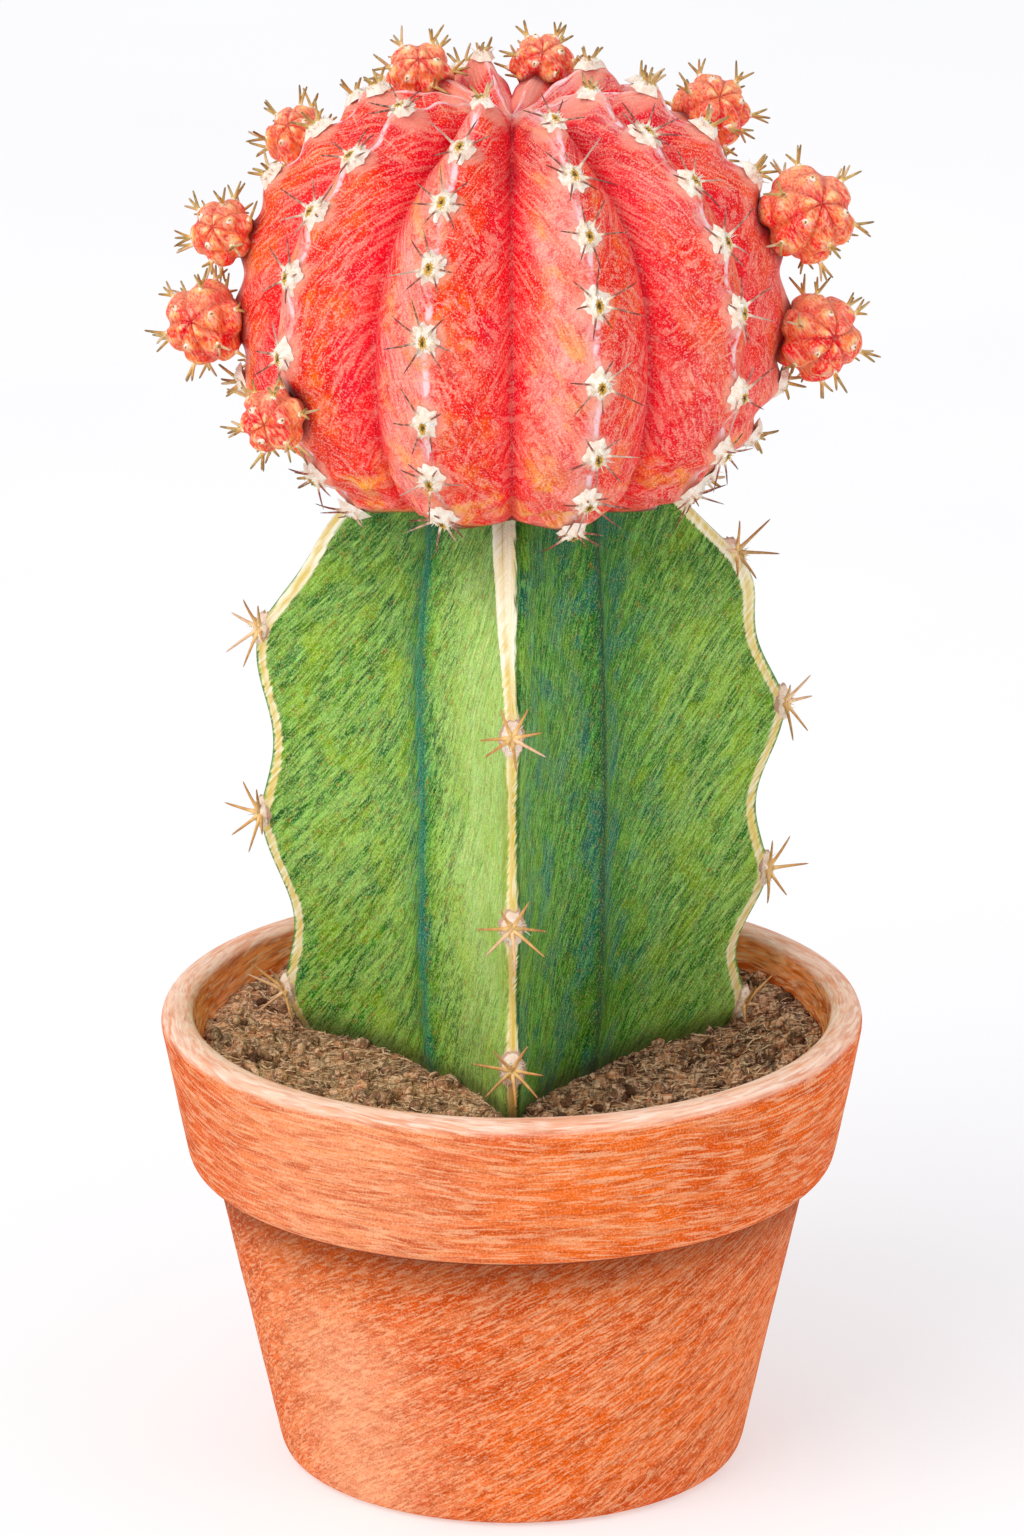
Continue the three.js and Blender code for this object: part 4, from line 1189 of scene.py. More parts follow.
def spine_finish(name, foot, middle, tip):
    """Horn in three colours, with thin streaks of the first and the last."""
    finish, bench, place = start_finish(name)
    streak = bench.use(strokes, Place=place, Size=(0.5, 0.5, 0.5), Tilt=0.0, Bend=0.4)
    horn = bench.use(spine_tint, Along="along", Foot=foot, Middle=middle, Tip=tip,
                     Tone="tone")["Color"]
    horn = bench.coats(horn, (tip, streak["Dark"], 0.3), (foot, streak["Pale"], 0.25))
    close_finish(bench, horn, 0.45, streak["Height"], 0.02, Specular_IOR_Level=0.4)
    return finish


stem_horn = spine_finish("tan_horn", (246, 208, 138), (222, 166, 94), (184, 126, 70))
head_horn = spine_finish("brown_horn", (252, 232, 204), (156, 84, 68), (82, 36, 34))
young_horn = spine_finish("olive_horn", (244, 214, 134), (204, 168, 96), (146, 116, 68))

# %% The felt finish
felt, bench, place = start_finish("areole_felt")
middle = bench.mark("middle")
fuzz = bench.use(flecks, Place=place, Size=0.16, Rarity=0.5)
cloudy = clouds(bench, place, 0.7, 0.4, 0.6)
uneven = bench.number("ADD", middle, bench.wobble(fuzz["Height"], 0.7))
wool = bench.coats(
    bench.blend((255, 250, 236), (250, 228, 206), cloudy),
    ((255, 255, 250), fuzz["Mask"], 0.6),
    ((226, 176, 78), bench.window(uneven, 0.56, 0.36)),
    ((104, 86, 54), bench.window(uneven, 0.26, 0.12)),
    ((240, 206, 176), bench.window(middle, 0.6, 0.85), "rim", 0.5),
    ((166, 116, 84), bench.window(middle, 1.0, 1.12), "rim", 0.7))
close_finish(bench, wool, 0.95, fuzz["Height"], 0.1, Specular_IOR_Level=0.1,
             Sheen_Weight=0.15)

# %% Areoles on the stem
chance = np.random.default_rng(7)
stem_felt, stem_spines = Heap(), Heap()
stem_lowest = SOIL_EDGE - SOIL_DISH + 0.9
for wing in WINGS:
    outward = around_axis(wing[1], 1.0, 0.0)
    for areole in wing[3]:
        slope = float(wing_radius(wing, areole + 1) - wing_radius(wing, areole - 1)) / 2
        upward = unit(outward * slope + (0, 0, 1))
        foot = around_axis(wing[1], float(wing_radius(wing, areole)) - 0.12,
                           areole + POT_HEIGHT)
        # The cushions of the side wings sit a little to the front of the margin.
        turned = outward + (0 if wing[0] == "front" else 1) * np.array([0, -1.0, 0])
        foot = foot + 0.45 * (turned - outward)
        normal = unit(np.cross(np.cross(upward, turned), upward))
        count = int(chance.integers(6, 8))
        start = math.tau * (0.5 / count if areole != wing[3][0] else 0.42 / count)
        arms = [start + (i + 0.4 * (chance.random() - 0.5)) * math.tau / count
                for i in range(count)]
        points, faces, middle = felt_shape(foot, normal, upward, 1.85, 1.25, 0.55, arms, chance,
                                           0.08)
        stem_felt.add(points, faces, middle=middle, rim=1.0)
        for arm in arms:
            lean = math.radians(chance.uniform(46, 70))
            way = lean_away(normal, upward, lean, arm)
            length = chance.uniform(3.0, 4.4)
            if foot[2] + way[2] * length < stem_lowest:
                continue
            root = foot + normal * 0.35 + lean_away(normal, upward, math.pi / 2, arm) * 0.4
            curl = -normal * chance.uniform(0.0, 0.4) + chance.normal(size=3) * 0.1
            points, faces, along = spine_shape(root, way, length, 0.165, curl, blunt=0.15)
            stem_spines.add(points, faces, along=along, tone=chance.random())
        add_tufts(stem_felt, 18, foot, normal, upward, 1.3, chance)
stem_felt.build("rootstock_areoles", [felt], slot="green_flesh")
stem_spines.build("rootstock_spines", [stem_horn])

# %% [markdown]
# ## The red head's shape
# The scion is a globe with ten ribs. A point on it has an azimuth round the axis and a polar
# angle from the growing point, so the globe is one formula: a rounded profile, drawn in at
# the valleys. The finer skin adds what the plain solid leaves out: a swelling under each
# areole, a pinched crease along every valley and the tucked edge where it was cut for the
# graft. Sculpting would also do, but the formula keeps the skin where the solid is.

# %% The globe, in millimetres from the centre of its widest level
RIBS, RIB_ANGLE, FIRST_RIB = 10, 36.0, -72.0
HEAD_RADIUS, HEAD_CROWN, HEAD_BELLY = 26.8, 23.3, 21.2
HEAD_ROUNDNESS, HEAD_GROOVE, HEAD_DIMPLE = 0.87, 0.155, 3.4
HEAD_LEVEL = POT_HEIGHT + 71.5
CUT_DEPTH = 17.0
AREOLE_STEP = 16.3


def rib_place(azimuth):
    """From -1 at a rib's right-hand valley through 0 on its crest to 1, and the rib."""
    turn = (np.asarray(azimuth, dtype=float) - FIRST_RIB) / RIB_ANGLE
    rib = np.round(turn)
    return 2 * (turn - rib), rib.astype(int) % RIBS


def first_areole(rib):
    """The polar angle of a rib's first areole. Neighbouring ribs take turns."""
    return np.where((rib % 2 == 0) | (rib == 7), 24.5, 16.0)


def skin_relief(azimuth, polar):
    """What the finer skin adds to the plain globe, in millimetres."""
    aside, rib = rib_place(azimuth)
    away, first = np.abs(aside), first_areole(rib)
    phase = (polar - first - 1.5) / AREOLE_STEP
    swelling = 0.55 * np.cos(math.tau * phase) * bell(away, 0.36) * smoothstep(polar, 12, 24)
    crease = -0.5 * bell(1 - away, 0.09) * smoothstep(polar, 6, 22)
    knob = np.where(first < 20, 1.3, 0.8) * bell(polar - first - 1, 7) * bell(away, 0.55)
    return swelling + crease + knob


def head_skin(azimuth, polar, added=0.0):
    """A point of the globe's skin, and further out by what is added."""
    polar = np.asarray(polar, dtype=float)
    sine = np.maximum(np.sin(np.radians(polar)), 0)
    cosine = np.cos(np.radians(polar))
    radius = HEAD_RADIUS * sine ** HEAD_ROUNDNESS
    half = np.where(cosine > 0, HEAD_CROWN, HEAD_BELLY)
    height = np.sign(cosine) * half * np.abs(cosine) ** HEAD_ROUNDNESS
    opening = np.clip(polar / 28, 0, 1) ** 0.7
    groove = HEAD_GROOVE * opening * (1 - 0.5 * smoothstep(polar, 95, 145))
    away = np.abs(rib_place(azimuth)[0])
    reach = 1 - away ** 1.4 * groove + added / np.hypot(radius, height)
    spot = around_axis(azimuth, radius * reach, height * reach)
    spot[..., 2] -= HEAD_DIMPLE * np.exp(-(radius / 5.5) ** 2)
    return spot


def close_in(low, high, is_above, steps):
    """Halve a range of polar angles again and again, towards where a test stops being true."""
    for _ in range(steps):
        middle = (low + high) / 2
        above = is_above(middle)
        low, high = np.where(above, middle, low), np.where(above, high, middle)
    return low


def cut_polar(azimuth):
    """The polar angle at which the skin meets the flat cut."""
    return close_in(np.full(len(azimuth), 95.0), np.full(len(azimuth), 175.0),
                    lambda polar: head_skin(azimuth, polar)[..., 2] > -CUT_DEPTH, 30)


print("a crest meets the cut at", round(float(cut_polar(np.array([FIRST_RIB]))[0])), "degrees")

# %% The skin's grid
HEAD_COLUMNS, HEAD_ROWS, TUCK = 400, 190, 1.3
azimuth = FIRST_RIB + 360 * np.arange(HEAD_COLUMNS) / HEAD_COLUMNS
share = 1 - np.linspace(0, 1, HEAD_ROWS + 1)[:-1, None] ** 1.12
polar = share * cut_polar(azimuth)[None]
wide = np.repeat(azimuth[None], HEAD_ROWS, 0)
head = head_skin(wide, polar, skin_relief(wide, polar))
depth = np.clip(1 - (head[..., 2] + CUT_DEPTH) / TUCK, 0, 1)
tuck = TUCK * (1 - np.sqrt(np.maximum(1 - depth ** 2, 0)))
head[..., :2] *= (1 - tuck / np.hypot(head[..., 0], head[..., 1]))[..., None]
head[0, :, 2] = -CUT_DEPTH
# The skin is crumpled round the growing point and just above the cut.
crumple = 0.07 + 0.2 * smoothstep(-polar, -42, -24) + 0.16 * smoothstep(polar, 108, 128)
crumple = crumple * waviness(head.reshape(-1, 3), 2.6, 61).reshape(HEAD_ROWS, -1)
head += (crumple * (share < 0.97))[..., None] * (
    head / np.linalg.norm(head, axis=-1, keepdims=True))
under = [head[0] * (r, r, 1) for r in (0.35, 0.7, 0.9)]
grid = np.concatenate([np.array(under), head])
apex = head_skin(0.0, 0.001)
head_points = np.concatenate([grid.reshape(-1, 3), [(0, 0, -CUT_DEPTH), apex]])
head_rows = len(grid)
print("head skin:", head_rows, "rows of", HEAD_COLUMNS)

# %% [markdown]
# ## Where the offsets sit
# A moon cactus buds along its ribs: small balls of the same flesh, each seated on an areole.
# Their places are the solids' own. They are needed here already, because a painted shadow
# darkens the head's skin where a ball sits on it, and because no spine may grow through one.

# %% The seats of the offsets
OFFSETS = (  # name, rib azimuth, polar angle, size, lean, turn, lift
    ("left_upper", 180, 74.5, 6.3, 6, 14, 0.36), ("left_middle", 180, 91, 8.0, -4, 14, 0.38),
    ("left_lower", -144, 101, 6.3, -14, 0, 0.34), ("left_shoulder", 144, 62, 6.4, 4, 0, 0.36),
    ("crown_left", 144, 21, 6.6, 0, 0, 0.02), ("crown_right", 72, 18, 6.0, 0, 0, 0.04),
    ("right_shoulder", 36, 54, 7.3, 4, 0, 0.34), ("right_upper", 0, 72, 9.2, 12, -12, 0.37),
    ("right_lower", 0, 93, 8.4, -10, -10, 0.37), ("back_left", 108, 84, 8.0, 4, 0, 0.36),
    ("back_right", 72, 106, 6.6, -8, 0, 0.34), ("back_low", 144, 108, 7.0, -8, 0, 0.34))


def crest_frame(azimuth, polar, added=0.0):
    """A foot on the crest, the way the skin faces there, and the way to the growing point."""
    foot = head_skin(azimuth, polar, added)
    upward = unit(head_skin(azimuth, polar - 1.0) - head_skin(azimuth, polar + 1.0))
    sideways = around_axis(azimuth + 90, 1.0, 0.0)
    return foot, np.cross(sideways, upward), upward, sideways


def seat_of(offset):
    """Centre, axis and radius of an offset, from its row in the table."""
    _, rib, polar, size, lean, turn, lift = offset
    foot, normal, upward, sideways = crest_frame(rib, polar)
    axis = unit(normal + upward * math.tan(math.radians(lean))
                + sideways * math.tan(math.radians(turn)))
    return foot + axis * lift * size, axis, size / 2


seats = [seat_of(offset) for offset in OFFSETS]


def room_round(points, skip=None):
    """Distance of each point to the nearest offset's skin."""
    gaps = [np.linalg.norm(points - centre, axis=-1) - radius
            for i, (centre, _, radius) in enumerate(seats) if i != skip]
    return np.min(gaps, axis=0)


def rise_of(points):
    """The angle of each point over the level of the head's centre."""
    return np.arctan2(points[..., 2], np.hypot(points[..., 0], points[..., 1]))


def height_over_skin(points):
    """How far a point stands outside the head's skin, measured from its centre."""
    azimuth = np.degrees(np.arctan2(points[..., 1], points[..., 0]))
    rise = rise_of(points)
    polar = close_in(np.ones_like(rise), np.full_like(rise, 179.0),
                     lambda polar: rise_of(head_skin(azimuth, polar)) > rise, 24)
    return np.linalg.norm(points, axis=-1) - np.linalg.norm(head_skin(azimuth, polar), axis=-1)


def areole_polars(rib):
    """The polar angles of a rib's areoles, down to just above the cut."""
    return np.arange(float(first_areole(rib)), 141, AREOLE_STEP)


print(len(OFFSETS), "offsets, the largest", max(offset[3] for offset in OFFSETS), "mm across")

# %% Marks on the head's skin
full_polar = np.concatenate([np.repeat(polar[:1], 3, 0), polar])
full_azimuth = np.repeat(azimuth[None], head_rows, 0)
aside, rib_number = rib_place(full_azimuth)
crest_mm = aside * math.radians(RIB_ANGLE / 2) * np.hypot(grid[..., 0], grid[..., 1])
meridian = np.zeros(grid.shape[:2])
meridian[1:] = np.cumsum(np.linalg.norm(np.diff(grid, axis=0), axis=-1), axis=0)
phase = (full_polar - first_areole(rib_number)) / AREOLE_STEP
MM_PER_DEGREE = 0.42
step_mm = (phase - np.round(phase)) * AREOLE_STEP * MM_PER_DEGREE
# Every other rib is mirrored, so that the grain has no seam in the valleys.
mirrored = crest_mm * np.where(rib_number % 2 == 0, 1, -1)
round_mm = 14 * np.cos(np.radians(full_azimuth)) * smoothstep(full_polar, 0, 40)
uneven_aside = aside + 0.16 * waviness(grid.reshape(-1, 3), 5.0, 62).reshape(aside.shape)
from_valley = 1 - np.abs(aside)
beside_valley = smoothstep(from_valley, 0.0, 0.12)
head_marks = with_ends({
    "grain": np.stack([mirrored, round_mm, meridian], -1),
    # Painted highlight on one side of each crest, strongest where it faces the lamp.
    "lit_side_highlight": (smoothstep(uneven_aside, -0.95, -0.4) * smoothstep(-uneven_aside, -0.05, 0.12)
                  * beside_valley),
    "hot_side": (smoothstep(uneven_aside, -0.03, 0.12) * smoothstep(-uneven_aside, -0.85, -0.3)
                 * beside_valley),
    # A painted highlight just left of each crest.
    "left_crest_highlight": smoothstep(crest_mm, -1.7, -0.3) * smoothstep(-crest_mm, -0.2, 0.2),
    "crest_mm": np.abs(crest_mm),
    "below_mm": step_mm,
    "polar": full_polar,
    "lit": smoothstep(np.cos(np.radians(full_azimuth - 215)), -0.3, 0.5),
    "valley": bell(from_valley, 0.24),
    "crease_mm": (from_valley * math.radians(RIB_ANGLE / 2)
                  * np.hypot(grid[..., 0], grid[..., 1])),
    # Painted shadow where an offset sits on the head.
    "pressed": bell(np.maximum(room_round(grid), 0), 0.75),
    "cut": np.repeat(np.arange(head_rows)[:, None] < 4, HEAD_COLUMNS, 1),
    # Painted shadow along the edge of the cut.
    "edge": bell(grid[..., 2] + CUT_DEPTH, 0.55),
})
head_marks["cut"][-2] = 1.0  # the foot lies in the cut
print("marks on the head:", ", ".join(head_marks))

# %% [markdown]
# ## Red flesh
# The head has no green to hide its colour, so its flesh glows from orange through scarlet to
# crimson. The valleys are a deep red, with painted shade darkest round the crown and a crisp
# dark line of painted shade at the bottom of each. One side of each crest is painted paler as a
# highlight, most where it faces the lamp: a peach with yellow where the flesh thins over the
# areoles. The other side is a hot orange red. A thin pale line runs along the crest itself, and
# painted shadows lie where offsets sit and along the cut's edge. All of it is mixed from the
# marks on the mesh, and the same three groups as before break it up.

# %% The strokes, clouds and marks of the red
red, bench, place = start_finish("red_flesh")
grain = bench.mark("grain", "Vector")
broad = hatch(bench, grain, (1.5, 6.0, 9.0), (0.42, -0.3), 0.5, 10.0, 0.08)
thin = hatch(bench, grain, (0.36, 5.0, 1.5), (0.55, -0.4), 0.8, 6.0, 0.06)
cloudy = clouds(bench, grain, 6.0, 0.38, 0.64)
golden = clouds(bench, grain, 3.6, 0.47, 0.62, (9, 5, 2))
broken = clouds(bench, grain, 1.5, 0.42, 0.54, (3, 8, 1))
tooth = bench.use(flecks, Place=place, Size=0.18, Rarity=0.5)
from_crown, lit, valley, below, crest, hot_side = (bench.mark(name) for name in (
    "polar", "lit", "valley", "below_mm", "crest_mm", "hot_side"))
young = bench.window(from_crown, 48.0, 26.0)
under_areole = bench.number("MULTIPLY", bench.window(below, -1.4, 0.6),
                            bench.window(below, 3.4, 1.6))
# Painted shade in the valleys round the crown.
deep_valley_shade = bench.number("MULTIPLY", bench.window(from_crown, 44.0, 18.0),
                    bench.number("POWER", valley, 3.0))
# A crisp dark line of painted shade along the bottom of each valley.
crease = bench.window("crease_mm", 0.62, 0.2)
open_flesh = bench.between(1.0, 0.6, valley)
uneven_crest = bench.number("ADD", crest, bench.wobble(thin["Height"], 0.6))
ring = bench.number("ADD", bench.number("POWER", below, 2.0), bench.number("POWER", crest, 2.0))
print("laid out:", len(bench.tree.nodes), "nodes")

# %% The coats of the red
peach = bench.coats(
    bench.blend((248, 134, 112), (248, 172, 160), cloudy),
    ((248, 184, 106), golden, 0.8))
callus = bench.blend((222, 190, 140), (180, 120, 84), cloudy)
flesh = bench.coats(
    bench.blend((246, 58, 46), (243, 36, 56), cloudy),
    # Painted highlight: the side of each crest towards the lamp is peach.
    (peach, "lit_side_highlight", bench.between(0.25, 0.95, lit)),
    ((252, 72, 14), hot_side, bench.between(0.45, 1.0, under_areole)),
    ((254, 150, 54), golden, hot_side, 0.55),
    # Near the cut the flesh turns orange, with yellow lobes that are painted stronger on the side
    # towards the lamp.
    ((250, 72, 44), bench.window(from_crown, 96.0, 124.0), 0.4),
    ((254, 196, 74), bench.window(from_crown, 106.0, 128.0), golden,
     bench.between(0.5, 0.85, lit)),
    ((222, 18, 46), broad["Dark"], 0.5),
    ((252, 152, 132), broad["Pale"], 0.34),
    # The valleys, with painted shade darkest round the crown and a crisp dark line of painted
    # shade at the bottom.
    ((252, 66, 76), valley, 0.62),
    ((150, 20, 36), deep_valley_shade, 0.7),
    ((198, 16, 44), crease, bench.between(0.3, 0.9, thin["Height"]), 0.7),
    ((206, 10, 42), thin["Dark"], 0.42),
    ((236, 40, 62), young, bench.between(0.35, 0.8, cloudy)),
    ((196, 20, 48), broad["Dark"], young, 0.6),
    ((254, 186, 164), thin["Pale"], open_flesh, 0.42),
    ((254, 206, 196), tooth["Mask"], open_flesh, 0.44),
    ((210, 20, 44), tooth["Pits"], 0.36),
    # A painted highlight left of the crest, the pale line along the crest, a ring round each
    # areole, the painted shadow where an offset sits, the callus of the cut, and a painted shadow
    # along the cut's edge.
    ((248, 200, 198), "left_crest_highlight", broken, 0.5),
    ((250, 222, 228), bench.window(uneven_crest, 0.42, 0.14), bench.between(0.15, 0.85, broken)),
    ((250, 180, 158), bench.window(ring, 5.0, 2.2), 0.55),
    ((110, 16, 26), "pressed", 0.8),
    (callus, "cut"),
    ((92, 26, 30), "edge", 0.85))
rough = bench.spread(broad["Height"], 0.55, 0.4)
relief = bench.number("ADD", thin["Height"], bench.number("MULTIPLY", tooth["Height"], 0.5))
close_finish(bench, flesh, rough, relief, 0.07, 1.05, Specular_IOR_Level=0.18,
             Subsurface_Weight=0.08, Subsurface_Scale=0.002)
head_points[:, 2] += HEAD_LEVEL
scion = make_piece("scion_skin", head_points, capped_faces(head_rows, HEAD_COLUMNS), [red],
                   head_marks)
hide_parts("scion")

# %% Areoles on the head
chance = np.random.default_rng(41)
lift = np.array([0, 0, HEAD_LEVEL])
head_felt, head_spines = Heap(), Heap()
for rib in range(RIBS):
    rib_azimuth = FIRST_RIB + rib * RIB_ANGLE
    for polar_angle in areole_polars(rib):
        added = float(skin_relief(rib_azimuth, polar_angle))
        foot, normal, upward, _ = crest_frame(rib_azimuth, polar_angle, added)
        if room_round(foot) < 1.2:
            continue
        # Areoles round the crown and on the far side carry short stout young spines.
        stout = polar_angle < 20 or normal[1] > -0.15
        count = int(chance.integers(4, 6) if stout else chance.integers(5, 8))
        start = chance.random()
        arms = [(start + i + 0.5 * (chance.random() - 0.5)) * math.tau / count
                for i in range(count)]
        size = 0.85 if polar_angle < 30 else 1.0
        points, faces, middle = felt_shape(foot - normal * 0.1, normal, upward, 1.45 * size,
                                           1.15 * size, 0.85, arms, chance, 0.34)
        head_felt.add(points + lift, faces, middle=middle, rim=0.0)
        for arm in arms:
            lean = math.radians(chance.uniform(18, 52) if stout else chance.uniform(52, 76))
            way = lean_away(normal, upward, lean, arm)
            length = (chance.uniform(1.7, 2.5) if stout else chance.uniform(2.2, 3.9)) * size
            curl = -normal * chance.uniform(-0.1, 0.5) + chance.normal(size=3) * 0.16
            tip = foot + way * length + curl
            tone = chance.random()
            if room_round(tip) < 0.3 or tip[2] < -CUT_DEPTH - 1.5:
                continue
            out = lean_away(normal, upward, math.pi / 2, arm)
            root = foot + normal * 0.3 + out * (0.35 if stout else 0.75) * size
            points, faces, along = spine_shape(root, way, length, 0.17 if stout else 0.115,
                                               curl, blunt=0.4 if stout else 0.0)
            head_spines.add(points + lift, faces, int(stout), along=along, tone=tone)
        add_tufts(head_felt, 14, foot, normal, upward, 1.15 * size, chance, lift)
head_felt.build("scion_areoles", [felt])
head_spines.build("scion_spines", [head_horn, young_horn])

# %% [markdown]
# ## The offsets
# Each small ball is a bud of the same flesh, so young that its ribs are only rows of lumps.
# The same kind of formula makes it: six ribs with a swelling for every areole, staggered from
# rib to rib like a raspberry. A ball, its felt and its spines are one mesh with three
# finishes, which keeps every offset a single piece that can be named after its solid.

# %% The shape of a small ball
OFFSET_RIBS, OFFSET_COLUMNS, OFFSET_ROWS = 6, 108, 64
LUMP_STEP, EVEN_LUMP, ODD_LUMP = 40.0, 34.0, 54.0
LIGHT_SIDE = np.array([0.0, -0.93, 0.36])


def growing_way(axis):
    """Balls at the front and the sides turn their growing point towards the light."""
    if axis.dot(LIGHT_SIDE) < -0.4:
        return axis
    return unit(0.4 * axis + 0.75 * LIGHT_SIDE)


def lump_polars(rib):
    """The polar angles of the lumps along a small ball's rib."""
    return np.arange(EVEN_LUMP if rib % 2 == 0 else ODD_LUMP, 150, LUMP_STEP)


def ball_skin(azimuth, polar, radius, seed):
    """A point of a small ball round its growing point, and its marks crease and lump."""
    azimuth, polar = np.broadcast_arrays(np.asarray(azimuth, float), np.asarray(polar, float))
    swirl = azimuth + 13 * np.sin(np.radians(azimuth) + 2 * seed) * bell(polar - 60, 70)
    crest = 0.5 + 0.5 * np.cos(np.radians(swirl) * OFFSET_RIBS)
    rib = np.round(swirl / (360 / OFFSET_RIBS)).astype(int) % OFFSET_RIBS
    first = np.where(rib % 2 == 0, EVEN_LUMP, ODD_LUMP)
    wave = 0.5 + 0.5 * np.cos(math.tau * (polar - first) / LUMP_STEP)
    sine = np.maximum(np.sin(np.radians(polar)), 1e-4)
    groove = 0.085 * bell(crest, 0.24) * sine ** 0.4 + 0.05 * bell(wave, 0.22) * crest
    dimple = 0.12 * np.exp(-(polar / 15) ** 2)
    lump = 0.09 * wave ** 0.8 * crest ** 0.5 * sine ** 0.4
    reach = radius * (1 - groove - dimple + lump - 0.03)
    spot = around_axis(azimuth, reach * sine, reach * np.cos(np.radians(polar)))
    inner = bell(polar, 55)
    crease = np.clip(bell(crest, 0.08) * (0.3 + 0.7 * inner) + bell(polar, 7)
                     + 0.55 * bell(wave, 0.07) * crest, 0, 1)
    return spot + 0.1 * waviness(spot + seed, 2.4, 71)[..., None], crease, wave * crest


print("lumps on one ball:", sum(len(lump_polars(rib)) for rib in range(OFFSET_RIBS)))

# %% [markdown]
# ## Flesh of the offsets
# Young flesh is more orange than old. The lumps carry painted highlights in peach and yellow,
# the upper half of each ball is painted paler as a highlight, and the creases between the lumps
# are a thin dark red line of painted shade, like ink drawn into a seam.

# %% The orange-red finish
orange, bench, place = start_finish("offset_flesh")
thin = bench.use(strokes, Place=place, Size=(0.26, 0.26, 0.8), Tilt=0.5, Bend=1.0)
cloudy = clouds(bench, place, 2.4, 0.42, 0.6)
golden = clouds(bench, place, 1.6, 0.42, 0.54, (4, 3, 9))
tooth = bench.use(flecks, Place=place, Size=0.28, Rarity=0.5)
lump = bench.mark("lump")
flesh = bench.coats(
    bench.blend((254, 98, 78), (250, 60, 66), cloudy),
    ((255, 156, 88), golden, 0.6),
    # Painted highlight on the upper half of each ball.
    ((255, 184, 150), "upper", 0.45),
    # Painted highlights on the lumps.
    ((255, 214, 130), bench.window(lump, 0.3, 0.85), golden, 0.85),
    ((255, 210, 190), bench.window(lump, 0.66, 0.95), 0.5),
    ((220, 20, 56), thin["Dark"], 0.5),
    ((255, 206, 170), thin["Pale"], 0.5),
    ((255, 214, 190), tooth["Mask"], 0.2),
    # Painted shade in the creases, and the painted shadow where a ball sits on the head.
    ((176, 20, 40), "crease", 0.62),
    ((104, 18, 26), "pressed", 0.8))
relief = bench.number("ADD", thin["Height"], bench.number("MULTIPLY", tooth["Height"], 0.5))
close_finish(bench, flesh, 0.48, relief, 0.08, 1.04, Specular_IOR_Level=0.18,
             Subsurface_Weight=0.08, Subsurface_Scale=0.0015)

# %% Turning a ball and dressing it with felt and spines
def turned_to(axis, points):
    """Points of a shape on the Z axis, turned the short way so that Z points along an axis."""
    bend = np.cross((0, 0, 1.0), axis)
    skew = np.array([[0, -bend[2], bend[1]], [bend[2], 0, -bend[0]], [-bend[1], bend[0], 0]])
    matrix = np.eye(3) + skew + skew @ skew / (1 + axis[2])
    return points @ matrix.T


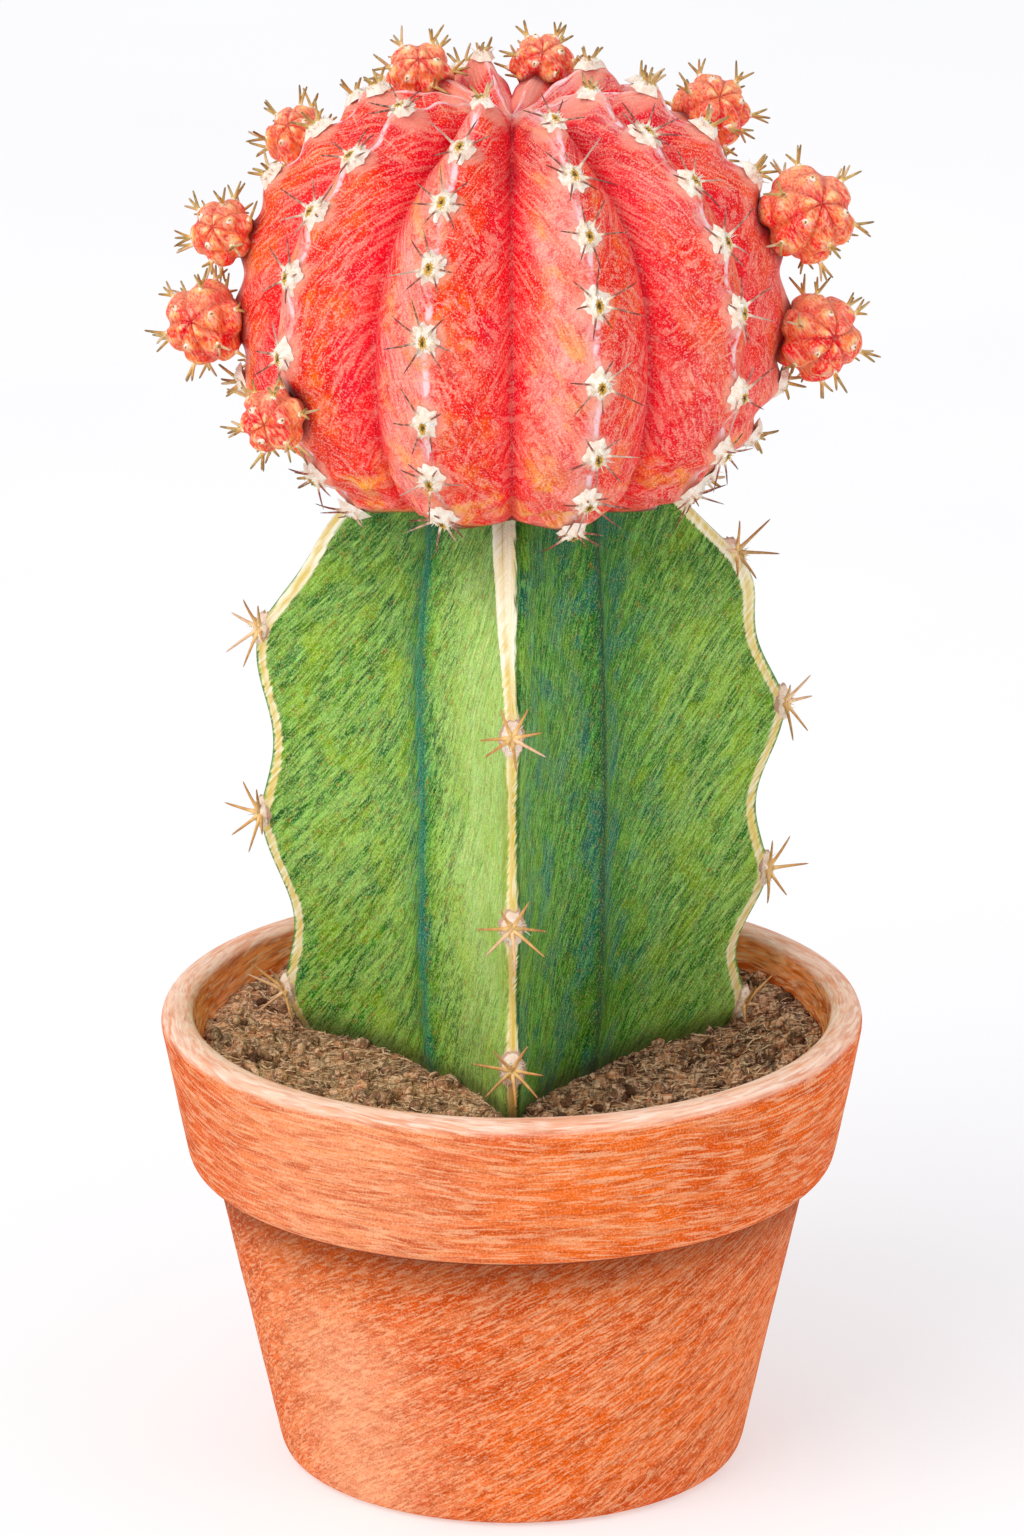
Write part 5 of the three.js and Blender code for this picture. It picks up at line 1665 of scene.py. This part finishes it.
def dress_ball(heap, number, way, blank, chance):
    """A felt pad on every free lump, and three spines where they don't crowd the middle."""
    centre, _, radius = seats[number]
    for rib in range(OFFSET_RIBS):
        rib_azimuth = 360 / OFFSET_RIBS * rib
        for polar_angle in lump_polars(rib):
            spot = ball_skin(rib_azimuth, polar_angle, radius, number)[0]
            higher = ball_skin(rib_azimuth, polar_angle - 2, radius, number)[0]
            draws = chance.random((3, 6))
            foot = turned_to(way, spot) + centre
            upward, outward = unit(turned_to(way, higher - spot)), foot - centre
            normal = unit(outward - upward * outward.dot(upward))
            if height_over_skin(foot) < 0.5 or room_round(foot, number) < 0.4:
                continue
            arms = [math.tau / 3 * (i + 0.5 * draw[0] + draws[0][1])
                    for i, draw in enumerate(draws)]
            points, faces, middle = felt_shape(foot - normal * 0.08, normal, upward, 0.42,
                                               0.36, 0.3, arms, chance, 0.4, sides=16)
            heap.add(points + lift, faces, 1, **blank | {"middle": middle})
            if polar_angle < 45:
                continue
            for arm, draw in zip(arms, draws):
                turned = lean_away(normal, upward, math.radians(12 + 30 * draw[2]), arm)
                length = 1.5 + 0.8 * draw[3]
                curl = -normal * 0.15 * draw[4] + upward * 0.2 * (draw[5] - 0.3)
                tip = foot + turned * length
                if height_over_skin(tip) < 0.8 or room_round(tip, number) < 0.4:
                    continue
                points, faces, along = spine_shape(foot + normal * 0.05, turned, length, 0.15,
                                                   curl, blunt=0.35)
                heap.add(points + lift, faces, 2, **blank | {"along": along, "tone": draw[4]})


print("Z turned to the light:", turned_to(unit(LIGHT_SIDE), straight_up).round(2).tolist())

# %% Growing every offset
def grow_offset(number):
    """One offset as one piece: its ball, its felt and its spines."""
    name = OFFSETS[number][0]
    centre, axis, radius = seats[number]
    way = growing_way(axis)
    azimuth = 360 * np.arange(OFFSET_COLUMNS) / OFFSET_COLUMNS
    polar = 180 * (1 - np.arange(1, OFFSET_ROWS) / OFFSET_ROWS)[:, None]
    local, crease, lump = ball_skin(azimuth[None], polar, radius, number)
    ends = ball_skin(np.zeros(2), np.array([180.0, 0.0]), radius, number)[0]
    placed = turned_to(way, np.concatenate([local.reshape(-1, 3), ends])) + centre
    blank = {"along": 0.0, "tone": 0.5, "middle": 1.0, "rim": 0.0,
             "crease": 0.0, "lump": 0.0, "upper": 0.0, "pressed": 0.0}
    heap = Heap()
    heap.add(placed + lift, capped_faces(OFFSET_ROWS - 1, OFFSET_COLUMNS), 0, **blank | {
        "crease": np.concatenate([crease.ravel(), [0, 1.0]]),
        "lump": np.concatenate([lump.ravel(), [0, 0]]),
        # Painted highlight on the ball's upper half, and painted shadow where it touches the
        # head.
        "upper": smoothstep((placed - centre)[:, 2] / radius, 0.0, 1.0),
        "pressed": bell(np.maximum(height_over_skin(placed), 0), 0.55)})
    dress_ball(heap, number, way, blank, np.random.default_rng(100 + number))
    piece = heap.build("offset_" + name + "_ball", [orange, felt, young_horn],
                       slot="offset_flesh")
    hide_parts("offset_" + name)


for number in range(len(OFFSETS)):
    grow_offset(number)
